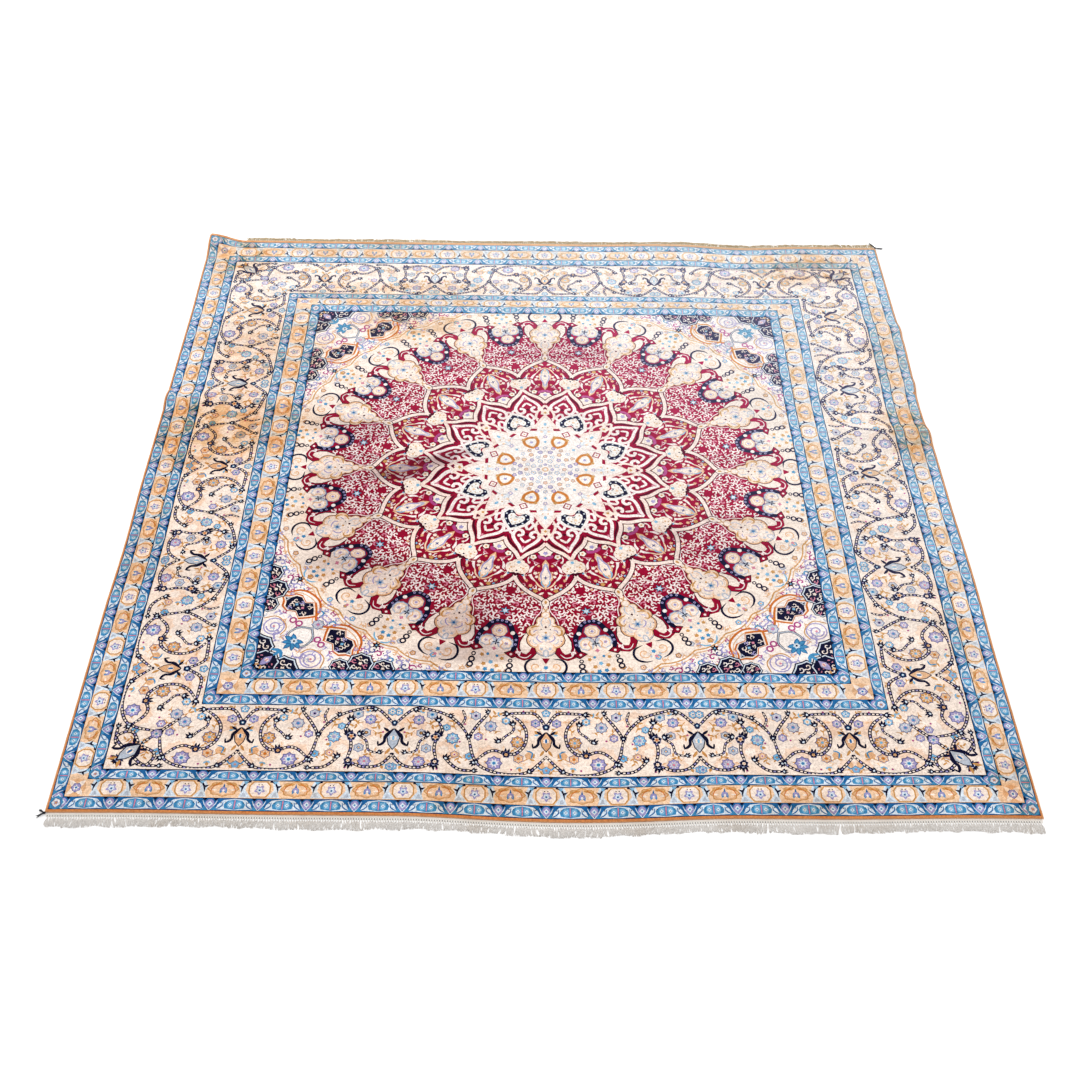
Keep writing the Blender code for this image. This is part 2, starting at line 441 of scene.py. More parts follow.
def cut(loops, border, grid=0.022):
    """Cuts a cartoon along its loops, then once more along only the lines where the yarn changes."""
    border = in_short_steps(border, grid)
    lowest = border.min(axis=0) - 0.001
    highest = border.max(axis=0) + 0.001
    near = []
    for colour, loop in loops:
        if (loop.max(axis=0) > lowest).all() and (loop.min(axis=0) < highest).all():
            near.append((colour, loop))
    points = []
    edges = []
    for loop in [border] + [in_short_steps(loop, grid) for _, loop in near]:
        base = len(points)
        points.extend(Vector(p) for p in loop)
        edges.extend((base + i, base + (i + 1) % len(loop)) for i in range(len(loop)))
    between = []
    for x in np.arange(lowest[0], highest[0], grid):
        row = np.column_stack((np.full(400, x), np.linspace(lowest[1], highest[1], 400)))
        row = row[:: max(1, int(grid / (highest[1] - lowest[1]) * 400))]
        between.extend(Vector(p) for p in row[covers(border, row)])
    points, corners, yarn = coloured(points, edges, border, near)
    kept, lines = np.unique(yarn_lines(corners, yarn), return_inverse=True)
    lines = [tuple(line) for line in lines.reshape(-1, 2).tolist()]
    return coloured([Vector(p) for p in points[kept]] + between, lines, border, near)


class Cartoon:
    """Flat paper with a border; pen is what lays a loop on it."""

    def __init__(self, border):
        self.border = np.asarray(border, float)
        self.loops = []

    def pen(self, colour, loop):
        self.loops.append((colour, np.asarray(loop, float)))

    def cut(self):
        return cut(self.loops, self.border)


# %% [markdown]
# Small motifs shared by the borders and the field: a bead chain stem with navy edges, leafy joints,
# little rosettes, sprays of ochre leaves, and two palmettes.

# %% Shared motifs
STEM = 0.0094
THIN_STEM = 0.0075


def chain(pen, points, width=STEM, bead=0.0100):
    """A stem: a navy line with pale beads along it."""
    pen("navy", ribbon(points, width, 0.6, 0.6, 0.010))
    path = along(points, bead)
    run = np.gradient(path, axis=0)
    run = run / np.hypot(run[:, 0], run[:, 1])[:, None]
    for i in range(1, len(path) - 1):
        d = run[i] * bead * 0.30
        n = np.array((-run[i][1], run[i][0])) * width * 0.21
        pen("lavender" if i % 3 == 0 else "cream", np.array((-d - n, d - n, d + n, n - d)) + path[i])


def joint(pen, x, y, turn, size=1.0):
    """A leafy navy joint on a stem."""
    at = moved(pen, x, y, turn, size)
    for lean in (-62, -25, 25, 62):
        moved(at, 0, 0, lean)("navy", leaf(0.020 if abs(lean) < 50 else 0.015, 0.0075,
            0.004 * np.sign(lean)))
    at("pale", oval(0, 0.004, 0.004, 0.003, 6))


def rosette(pen, x, y, radius, outer="lavender", inner="pale", heart="blue", count=6):
    """A little round flower with a dark outline."""
    count = 8 if radius > 0.016 else count
    pen("shade", petals(x, y, radius * 1.05, count, 0.24))
    pen(outer, petals(x, y, radius * 0.92, count, 0.28))
    if radius > 0.0125:
        pen("cream", petals(x, y, radius * 0.70, count, 0.62, 180 / count))
    pen(inner, petals(x, y, radius * 0.48, count, 0.40, 180 / count))
    pen(heart, oval(x, y, radius * 0.24, steps=5))


def spray(pen, x, y, turn, size=1.0, colour="ochre", leaves=3):
    """A thin twig with small leaves."""
    at = moved(pen, x, y, turn, size)
    at(colour, ribbon([(0, 0), (0.003, 0.016), (0, 0.034)], 0.0026, 1, 0.3, 0.010))
    for i in range(leaves):
        moved(at, 0.001, 0.010 + 0.009 * i, 48 if i % 2 else -48)(colour, leaf(0.015, 0.0065, 0.003))


def bud(pen, x, y, turn, size=1.0, colour="ochre"):
    """A small bud with two leaves."""
    at = moved(pen, x, y, turn, size)
    at(colour, leaf(0.017, 0.010))
    moved(at, 0, 0, 60)("sky", leaf(0.012, 0.006))
    moved(at, 0, 0, -60)("sky", leaf(0.012, 0.006))


def palmette(pen, x, y, turn, size=1.0, body="apricot", heart="blue", spray_colour="ochre"):
    """A palmette with thick navy arms, its foot at y and its tip along +y."""
    at = mirrored(moved(pen, x, y, turn, size))
    one = moved(pen, x, y, turn, size)
    at("navy", ribbon([(0, -0.026), (0.019, -0.008), (0.021, 0.010), (0.034, 0.020),
        (0.036, 0.008)], 0.0075, 1, 0.4))
    one("navy", whole([(0, -0.030), (0.017, -0.004), (0.012, 0.018), (0, 0.034)]))
    one(body, whole([(0, -0.026), (0.0140, -0.003), (0.0098, 0.0165), (0, 0.030)]))
    one("cream", petals(0, -0.001, 0.0095, 6, 0.35))
    one(heart, oval(0, -0.001, 0.0032, 0.0075, 8))
    at(spray_colour, moved_leaf(0.006, 0.028, -24, 0.022, 0.008))
    at("navy", moved_leaf(0.010, -0.020, -118, 0.020, 0.008))


def moved_leaf(x, y, turn, length, width, bend=0.003):
    """A leaf already put in place."""
    kept = []
    moved(lambda colour, loop: kept.append(loop), x, y, turn)("", leaf(length, width, bend))
    return kept[0]


# %% [markdown]
# The narrow blue guards. Pale domed cartouches with two light blue blossoms alternate with small round
# lavender diamonds, and a navy hairline parts each stripe from the next.

# %% Blue guards
BEFORE_AXIS = -0.01  # stripes start a little before the axis and run past the rim
PAST_RIM = 1.3


def stripe(pen, colour, inner, outer):
    """A plain stripe along one side, between two distances from the middle."""
    pen(colour, [(BEFORE_AXIS, inner), (PAST_RIM, inner), (PAST_RIM, outer), (BEFORE_AXIS, outer)])


def hairline(pen, colour, level, width):
    """A thin line along one side."""
    pen(colour, ribbon([(BEFORE_AXIS, level), (PAST_RIM, level)], width, step=0.018))


def blue_guard(pen, band, count, corner=0.016):
    """One blue guard between two insets, with count cartouches to a full side."""
    outer, inner = (HALF - inset for inset in band)
    stripe(pen, "deep", inner, outer)
    middle = (inner + outer) / 2
    half = (outer - inner) / 2
    pitch = 2 * (middle - corner) / count
    first = -pitch if count % 2 else -pitch / 2
    while first < middle + 0.02:
        if first < middle - corner:
            domed(moved(pen, first, middle, 0, half / 0.016))
        if first + pitch / 2 < middle - corner * 0.7:
            diamond(moved(pen, first + pitch / 2, middle, 0, half / 0.016))
        first += pitch
    hairline(pen, "navy", inner, 0.0022)
    hairline(pen, "navy", outer, 0.0022)
    posy = moved(pen, middle, middle)
    posy("blue", oval(0, 0, half * 1.1, steps=8))
    rosette(posy, 0, 0, half * 0.8, "pale", "lavender", "ochre", 5)


def domed(pen):
    """The domed cartouche of a blue guard, 88 mm wide."""
    both = mirrored(pen)
    dome = [(-0.046, 0.0125), (-0.040, 0), (-0.028, -0.0105), (0, -0.0140), (0.028, -0.0105), (0.040, 0),
        (0.046, 0.0125), (0, 0.0145)]
    pen("pale", np.array(dome))
    both("blue", [(0.0, -0.012), (0.018, -0.009), (0.027, 0.000), (0.024, 0.010), (0.0, 0.0135)])
    both("deep", ribbon([(0.045, 0.012), (0.031, 0.005), (0.029, -0.006)], 0.0032, 0.5, 0.6, 0.008))
    both("navy", oval(0.0335, -0.0035, 0.0018, steps=5))
    both("sky", [(0.004, -0.007), (0.015, -0.008), (0.019, 0.002), (0.014, 0.010), (0.004, 0.008)])
    both("pale", petals(0.0112, 0.001, 0.0052, 4, 0.35))
    both("deep", oval(0.0112, 0.001, 0.0016, steps=5))
    both("navy", oval(0.022, -0.004, 0.0016, steps=5))
    pen("rose", [(-0.0016, -0.010), (0.0016, -0.010), (0.0012, 0.011), (-0.0012, 0.011)])


def diamond(pen):
    """The small round flower between two cartouches, with pale chevrons."""
    both = mirrored(pen)
    both("navy", [(0.006, -0.0155), (0.020, -0.0155), (0.012, -0.008)])
    both("blue", [(0.003, 0.015), (0.020, 0.015), (0.012, 0.004)])
    both("pale", ribbon([(0.0, 0.0150), (0.012, 0.001), (0.017, -0.009)], 0.0022, 1, 0.6, 0.01))
    pen("lavender", oval(0, -0.001, 0.0105, 0.0115, 10))
    pen("pale", petals(0, -0.001, 0.0075, 4, 0.4))
    pen("blue", oval(0, -0.001, 0.0026, steps=6))


# %% [markdown]
# The gold guards. An ivory octagon with a lavender flower alternates with a wavy ochre palmette that
# holds a heart shaped blue flower. Pale leaf areas with a dark thorn fill the space between.

# %% Gold guards
def gold_guard(pen, band, count):
    """One gold guard between two insets, with count octagons to a full side."""
    outer, inner = (HALF - inset for inset in band)
    stripe(pen, "apricot", inner, outer)
    middle = (inner + outer) / 2
    pitch = 2 * middle / count
    size = (outer - inner) / 0.050
    first = -pitch if count % 2 else -pitch / 2
    while first < middle + 0.02:
        octagon(moved(pen, first, middle, 0, size))
        if first + pitch / 2 < middle - 0.04:
            ochre_palmette(moved(pen, first + pitch / 2, middle, 0, size))
        first += pitch
    posy = moved(pen, middle, middle, 0, size)
    posy("tan", oval(0, 0, 0.027, steps=10))
    for turn in (45, 135, 225, 315):
        moved(posy, 0, 0, turn)("cream", leaf(0.030, 0.015))
    rosette(posy, 0, 0, 0.014, "lavender", "pale", "deep", 6)


def octagon(pen):
    """The ivory octagon of a gold guard, with the thorns and grey leaves at each side."""
    both = mirrored(pen)
    both("pale", [(0.020, 0.0235), (0.052, 0.0235), (0.047, 0.008), (0.053, -0.006), (0.046, -0.0235),
        (0.030, -0.0235), (0.036, 0.002)])
    both("grey", [(0.032, 0.0205), (0.046, 0.0205), (0.041, 0.008), (0.037, 0.010)])
    both("navy", ribbon([(0.024, -0.0225), (0.036, -0.019), (0.044, -0.006), (0.046, 0.009)],
        0.0048, 1, 0.2, 0.008))
    both("navy", [(0.047, -0.003), (0.056, -0.012), (0.045, -0.010)])
    both("sky", [(0.030, -0.0235), (0.044, -0.0235), (0.038, -0.014)])
    shape = np.array([(-0.028, -0.011), (-0.018, -0.023), (0.018, -0.023), (0.028, -0.011),
        (0.028, 0.010), (0.018, 0.0225), (-0.018, 0.0225), (-0.028, 0.010)])
    pen("ochre", shape)
    pen("cream", shape * 0.87)
    pen("lavender", petals(0, 0.001, 0.0150, 5, 0.45, 0, 4))
    pen("pale", petals(0, 0.001, 0.0090, 5, 0.35))
    pen("deep", oval(0, 0.002, 0.0030, steps=6))
    both("navy", oval(0.004, -0.0135, 0.0019, steps=5))


def ochre_palmette(pen):
    """The wavy ochre palmette of a gold guard, 76 mm wide."""
    both = mirrored(pen)
    a = np.linspace(0, 2 * math.pi, 28, endpoint=False)
    r = 1 + 0.09 * np.cos(8 * a)
    blob = np.column_stack((0.037 * r * np.cos(a), 0.0215 * r * np.sin(a) - 0.001))
    pen("ochre", blob)
    pen("tan", blob * 0.90)
    pen("apricot", blob * 0.72)
    both("ochre", moved_leaf(0.004, -0.016, -70, 0.030, 0.009))
    both("apricot", moved_leaf(0.010, -0.010, -52, 0.024, 0.011))
    both("cream", moved_leaf(0.016, 0.002, -80, 0.014, 0.005))
    both("orange", ribbon([(0.012, -0.016), (0.026, -0.006), (0.030, 0.008)], 0.0022, 1, 0.4, 0.008))
    both("blue", moved_leaf(0.0, -0.006, -32, 0.020, 0.010, -0.003))
    both("lavender", moved_leaf(0.001, -0.006, -22, 0.015, 0.007, -0.001))
    pen("deep", [(-0.003, -0.006), (0.003, -0.006), (0, -0.017)])
    pen("white", oval(0, 0.004, 0.003, 0.004, 6))


# %% [markdown]
# The main border. Two beaded stems cross and wind between large palmettes, with a full spiral inside
# each turn. One tile runs from an apricot palmette to a grey one, and its reflections make the rest
# of the side. Places in the tile run along the band and inwards from its middle line.

# %% Main border
def tile_ground(pen):
    """Peach clouds, twigs and buds, laid first so that the stems cross over them."""
    for x, y, radius in ((0.060, 0.040, 0.036), (0.150, -0.052, 0.040), (0.236, 0.066, 0.034),
        (0.262, -0.030, 0.030), (0.336, -0.078, 0.034), (0.352, 0.040, 0.040), (0.020, -0.080, 0.028)):
        pen("peach", petals(x, y, radius, 9, 0.22))
        pen("cream", petals(x + 0.006, y - 0.004, radius * 0.55, 7, 0.3))
    for i in range(22):
        x = 0.010 + 0.0185 * i
        spray(pen, x, 0.066 * math.sin(2.4 * i), 137 * i, 0.75, ("tan", "ochre", "apricot")[i % 3], 2)
    for x, y, turn, size in (
        (0.060, -0.060, 70, 1.0), (0.118, -0.074, -60, 0.9), (0.150, 0.060, 35, 1.0),
        (0.165, 0.020, -40, 0.8), (0.068, 0.020, 15, 0.9), (0.120, 0.030, -80, 0.8),
        (0.236, 0.030, -15, 1.0), (0.226, -0.040, 190, 0.9), (0.318, 0.052, 120, 1.0),
        (0.345, 0.026, -120, 0.9), (0.368, 0.062, 155, 1.1), (0.352, -0.060, 60, 0.9),
        (0.300, -0.086, -60, 0.8), (0.024, 0.076, -20, 0.8), (0.030, -0.088, 100, 0.8),
        (0.250, -0.072, 20, 0.8),
    ):
        spray(pen, x, y, turn, size)
    for x, y, turn, size in ((0.020, 0.022, -40, 1.0), (0.070, -0.078, 170, 0.9), (0.195, 0.082, 0, 0.9),
        (0.240, -0.020, 90, 0.9), (0.330, 0.084, 30, 0.8), (0.374, -0.082, 200, 0.9),
        (0.128, 0.084, 80, 0.8)):
        bud(pen, x, y, turn, size)


def tile_flowers(pen):
    """Small rosettes, two hooked leaves and magenta berries."""
    for x, y, radius, outer, inner, heart in (
        (0.072, -0.052, 0.015, "tan", "ochre", "orange"),
        (0.135, -0.068, 0.022, "lavender", "pale", "blue"),
        (0.146, 0.046, 0.018, "grey", "lavender", "blue"),
        (0.106, 0.064, 0.013, "sky", "cream", "ochre"),
        (0.075, -0.002, 0.020, "ochre", "tan", "sky"),
        (0.028, 0.058, 0.014, "lavender", "grey", "deep"),
        (0.178, 0.012, 0.013, "lavender", "pale", "rose"),
        (0.186, 0.078, 0.015, "grey", "lavender", "navy"),
        (0.245, 0.004, 0.019, "sky", "grey", "lavender"),
        (0.238, -0.046, 0.012, "tan", "cream", "magenta"),
        (0.302, 0.078, 0.016, "grey", "sky", "deep"),
        (0.336, 0.060, 0.017, "lavender", "grey", "blue"),
        (0.328, 0.018, 0.014, "grey", "navy", "ochre"),
        (0.312, -0.030, 0.015, "grey", "blue", "tan"),
        (0.330, -0.072, 0.018, "lavender", "grey", "rose"),
        (0.262, 0.038, 0.012, "sky", "pale", "deep"),
        (0.392, 0.086, 0.014, "sky", "cream", "blue"),
        (0.200, -0.050, 0.012, "sky", "blue", "ochre"),
        (0.396, -0.088, 0.013, "sky", "lavender", "blue"),
    ):
        rosette(pen, x, y, radius, outer, inner, heart)
    for x, y, turn in ((0.050, -0.052, 20), (0.018, -0.062, 150)):
        at = moved(pen, x, y, turn)
        at("tan", leaf(0.024, 0.018))
        at("blue", ribbon([(-0.010, 0.004), (-0.007, 0.022), (0.009, 0.022)], 0.0045, 0.5, 0.5, 0.008))
    for x, y in ((0.158, 0.004), (0.214, 0.050), (0.226, -0.006), (0.372, 0.020), (0.384, -0.044),
        (0.282, -0.092), (0.090, -0.086), (0.060, 0.096)):
        pen("magenta", oval(x, y, 0.0034, steps=5))


# %% [markdown]
# The stems are chains of beads. Some wind and cross from circle to circle, one winds up inside the
# first circle, and two short ones fill the second. A leafy joint marks each meeting and each end.

# %% Stems and palmettes
def tile_stems(pen):
    """The beaded stems, as widths and the places that each passes, and the joints on them."""
    for width, points in (
        (STEM, [(-0.004, -0.041), (0.047, -0.092), (0.110, -0.100), (0.166, -0.082), (0.190, -0.050),
        (0.203, 0.011)]),
        (STEM, [(-0.003, 0.040), (0.026, 0.086), (0.060, 0.090), (0.100, 0.088)]),
        (STEM, [(0.152, 0.088), (0.180, 0.050), (0.203, 0.011)]),
        (STEM, [(0.404, 0.040), (0.350, 0.096), (0.300, 0.092), (0.256, 0.074), (0.224, 0.044),
        (0.203, 0.011)]),
        (STEM, [(0.404, -0.046), (0.372, -0.082), (0.330, -0.090), (0.292, -0.074)]),
        (STEM, [(0.262, -0.060), (0.228, -0.090), (0.190, -0.094)]),
        (STEM, [(0.100, 0.088), (0.068, 0.062), (0.052, 0.030), (0.056, -0.010), (0.078, -0.036),
        (0.104, -0.040), (0.130, -0.030), (0.154, -0.036), (0.186, -0.066)]),
        (THIN_STEM, [(0.122, -0.006), (0.108, 0.014), (0.086, 0.034), (0.088, 0.066)]),
        (STEM, [(0.284, -0.066), (0.292, -0.030), (0.286, 0.004), (0.272, 0.026), (0.284, 0.056)]),
        (THIN_STEM, [(0.306, 0.010), (0.330, -0.008), (0.338, -0.038), (0.364, -0.046)]),
        (THIN_STEM, [(0.224, 0.044), (0.214, 0.070), (0.222, 0.096)]),
    ):
        chain(pen, points, width)
    for x, y, turn, size in (
        (0.047, -0.092, 60, 0.9), (0.178, -0.070, -60, 1.0), (0.100, 0.088, -100, 1.0),
        (0.203, 0.008, 0, 0.9), (0.203, 0.014, 180, 0.8), (0.350, 0.096, 110, 1.0),
        (0.256, 0.074, 60, 0.8), (0.286, 0.010, 30, 1.2), (0.284, 0.056, 0, 1.1),
        (0.292, -0.074, 160, 1.2), (0.104, -0.042, 10, 1.1), (0.086, 0.050, -20, 1.0),
        (0.122, -0.004, -40, 1.0), (0.262, -0.062, 30, 1.0), (0.190, -0.094, 80, 0.8),
        (0.364, -0.046, -60, 0.8), (0.306, 0.012, -70, 1.1), (0.186, -0.066, 220, 0.9),
        (0.152, 0.088, -30, 0.8),
    ):
        joint(pen, x, y, turn, size)
    rosette(pen, 0.104, -0.041, 0.011, "navy", "tan", "ochre", 5)
    rosette(pen, 0.288, -0.070, 0.012, "navy", "cream", "tan", 5)
    rosette(pen, 0.290, 0.006, 0.014, "navy", "tan", "orange", 5)


def tile_palmettes(pen):
    """The two palmettes that stand on the tile's ends, with their own rosettes."""
    palmette(pen, 0.0, 0.002, 180, 1.0, "tan", "deep", "ochre")
    palmette(pen, 0.400, 0.000, 180, 1.1, "grey", "sky", "ochre")
    rosette(pen, 0.0, 0.046, 0.011, "navy", "blue", "white", 5)
    rosette(pen, 0.4, 0.050, 0.010, "navy", "blue", "white", 5)
    rosette(pen, 0.0, 0.090, 0.013, "sky", "pale", "blue", 5)
    rosette(pen, 0.0, -0.086, 0.012, "sky", "lavender", "ochre", 5)


def border_tile(pen):
    """From the apricot palmette at x = 0 to the grey one at x = 0.4."""
    for draw in (tile_ground, tile_flowers, tile_stems, tile_palmettes):
        draw(pen)


def banded(pen, level):
    """A pen for a band seen along its length, with its second measure running inwards."""
    return lambda colour, loop: pen(colour, np.asarray(loop, float) * (1, -1) + (0, level))


OUTER_BLUE = (0.014, 0.046)  # insets from the rim, outer then inner
OUTER_GOLD = (0.046, 0.096)
SECOND_BLUE = (0.096, 0.128)
MAIN_BAND = (0.128, 0.338)
THIRD_BLUE = (0.338, 0.370)
INNER_GOLD = (0.370, 0.420)
LAST_BLUE = (0.420, 0.452)
HALF = CARPET_SIDE / 2

border = Cartoon([(0, HALF - MAIN_BAND[1]), (HALF - MAIN_BAND[1],) * 2, (HALF, HALF), (0, HALF)])
stripe(border.pen, "edge", 0.9, PAST_RIM)
stripe(border.pen, "cream", 0.9, HALF - MAIN_BAND[0])
main_pen = banded(border.pen, HALF - sum(MAIN_BAND) / 2)
border_tile(main_pen)
border_tile(moved(main_pen, 0.8, 0, flip=True))
border_tile(moved(main_pen, 0.8, 0))
for inset, colour, width in ((MAIN_BAND[0], "navy", 0.0026), (MAIN_BAND[0] + 0.003, "cream", 0.0030),
    (MAIN_BAND[1], "navy", 0.0022)):
    hairline(border.pen, colour, HALF - inset, width)
corner_pen = moved(border.pen, 1.060, 1.060, -45)
palmette(corner_pen, 0, 0.010, 0, 1.15, "grey", "deep", "ochre")
chain(mirrored(corner_pen), [(0.006, -0.022), (0.050, -0.030), (0.064, 0.004), (0.044, 0.022)])
chain(corner_pen, [(0, -0.024), (0, -0.140)])
rosette(corner_pen, 0, -0.070, 0.016, "lavender", "grey", "blue")
blue_guard(border.pen, OUTER_BLUE, 20)
gold_guard(border.pen, OUTER_GOLD, 13)
blue_guard(border.pen, SECOND_BLUE, 18)
border_cut = border.cut()
print("border octant:", len(border.loops), "loops,", len(border_cut[1]), "triangles")


# %% [markdown]
# The field. Its great medallion has sixteen crimson cartouches round eight navy hearts and an ivory
# rosette. Everything repeats round the middle, so the field is drawn for one eighth of the square,
# from the straight axis to the diagonal. A spoke is a pen turned to one axis: its y is the distance
# from the middle, its x runs round.

# %% Field paper and spokes
field = Cartoon([(0, 0), (HALF - MAIN_BAND[1],) * 2, (0, HALF - MAIN_BAND[1])])
MAIN_SPOKES = (11.25, 33.75)  # the axes of the crimson cartouches
SIDE_SPOKES = (0.0, 22.5, 45.0)  # the axes between them


def spoke(theta):
    """A pen turned to one axis of the medallion."""
    return moved(field.pen, turn=-theta)


def both_sides(theta):
    """A pen that lays each loop on both sides of one axis."""
    return mirrored(spoke(theta))


def on_axes(motif, axes):
    """Draws a motif on each of these axes, with one pen for its two sides and one for its middle."""
    for theta in axes:
        motif(both_sides(theta), spoke(theta))


def arc(radius, start, stop, step=2.0):
    """Points on a circle about the middle."""
    return polar(np.linspace(start, stop, max(2, int(abs(stop - start) / step) + 1)), radius)


def disc(radius, wave=0.0, lobes=16, phase=0.0):
    """An eighth of a round, with lobes."""
    a = np.linspace(-6, 51, 77)
    return np.vstack(((0, 0), polar(a, radius * (1 + wave * np.cos(np.radians(lobes * (a - phase)))))))


def scroll(pen, x, y, radius, start, sweep, colour, width=0.0032, tail=0.25):
    """A spiral tendril with a leaf on its back."""
    pen(colour, ribbon(spiral(x, y, radius, radius * tail, start, start + sweep, 9), width,
        0.5, 1.0, 0.0060))
    a = math.radians(start + sweep * 0.35)
    pen(colour, moved_leaf(x + radius * 0.8 * math.sin(a), y + radius * 0.8 * math.cos(a),
        -math.degrees(a), radius * 0.75, 0.0042))


# %% [markdown]
# The ground outside the medallion is cream, gold near the medallion and paler in the corners. A cusped
# double line with dots parts the two, and a band of lavender and magenta scrolls runs outside it.

# %% Field ground
stripe(field.pen, "ivory", BEFORE_AXIS, PAST_RIM)
field.pen("cream", disc(0.838, 0.012, 48))
rim = np.linspace(-4, 49, 107)
for level, colour, width in ((0.0, "ochre", 0.0034), (0.010, "tan", 0.0026)):
    cusps = 0.830 + level + 0.012 * np.abs(np.sin(np.radians(rim * 24)))
    field.pen(colour, ribbon(polar(rim, cusps), width * 1.3, step=0.008))
for theta in np.arange(22, 46, 1.5):
    spoke(theta)("navy", oval(0, 0.855, 0.0018, steps=4))
for i, theta in enumerate(np.arange(-3.5, 49, 3.75)):
    level = 0.806 if i % 2 else 0.824
    rosette(spoke(theta), 0, level, 0.0100, ("ochre", "tan", "sky", "ochre", "grey")[i % 5],
        "cream", "orange", 5)
    scroll(spoke(theta + 0.9), 0, level + 0.014, 0.0085, 80 * i, 330 if i % 2 else -330,
        "tan" if i % 3 else "lavender", 0.0040)
    spray(spoke(theta + 1.9), 0, level + 0.008, 60 if i % 2 else -60, 0.7, "tan" if i % 3 else "ochre", 2)
for theta in MAIN_SPOKES:
    both_sides(theta)("sky", ribbon([(0.006, 0.838), (0.020, 0.832), (0.030, 0.818)], 0.0050, 1, 0.3))
    spoke(theta)("orange", petals(0, 0.852, 0.010, 4, 0.5))
for i, theta in enumerate(np.arange(16.5, 48, 1.40)):
    colour = ("lavender", "magenta", "shade", "lavender", "blue")[i % 5]
    pen = spoke(theta)
    scroll(pen, 0, 0.872 + 0.003 * (i % 2), 0.0125, 40 * i, 330 if i % 2 else -330, colour, 0.0050)
    scroll(pen, 0.008, 0.892, 0.0085, 90 * i, 320, "magenta" if i % 2 else "lavender", 0.0044)
    scroll(pen, -0.002, 0.910, 0.0095, 70 * i, -330, "lavender" if i % 2 else "shade", 0.0042)
    scroll(pen, 0.004, 0.853, 0.0080, 130 * i, 320, ("tan", "lavender", "magenta")[i % 3], 0.0040)
    scroll(pen, 0.006, 0.927, 0.0085, 60 * i, 330, ("magenta", "lavender", "blue")[i % 3], 0.0040)
    pen("navy", oval(-0.010, 0.886, 0.0024, steps=4))
    pen("navy", oval(0.010, 0.866, 0.0024, steps=4))
    pen("ochre", petals(-0.008, 0.902, 0.0050, 4, 0.4))
field.pen("grey", ribbon(arc(0.925, 20, 46), 0.0026, step=0.01))

# %% [markdown]
# Each corner of the field holds a panel with a bright blue palmette on the diagonal, two navy double
# lozenges, magenta loops and ivory volutes, edged with navy scallops along the guard.

# %% Corner panel
def lozenge(pen):
    """A navy double lozenge with light scrollwork, in an orange ogee."""
    both = mirrored(pen)
    shape = [(0, -0.058), (0.016, -0.044), (0.033, -0.026), (0.020, -0.004), (0.031, 0.018),
        (0.026, 0.036), (0.010, 0.046), (0, 0.060)]
    for colour, size in (("orange", 1.27), ("cream", 1.11), ("navy", 1.0)):
        pen(colour, whole(shape) * size)
    for x, y, radius, start in ((0.011, -0.030, 0.009, 0), (0.012, 0.024, 0.010, 180),
        (0.009, 0.000, 0.007, 60)):
        scroll(both, x, y, radius, start, 320, "cream", 0.0030)
    pen("rose", petals(0, -0.012, 0.006, 4, 0.4))
    pen("sky", petals(0, 0.012, 0.006, 4, 0.4))
    both("pale", oval(0.022, -0.022, 0.0022, steps=5))


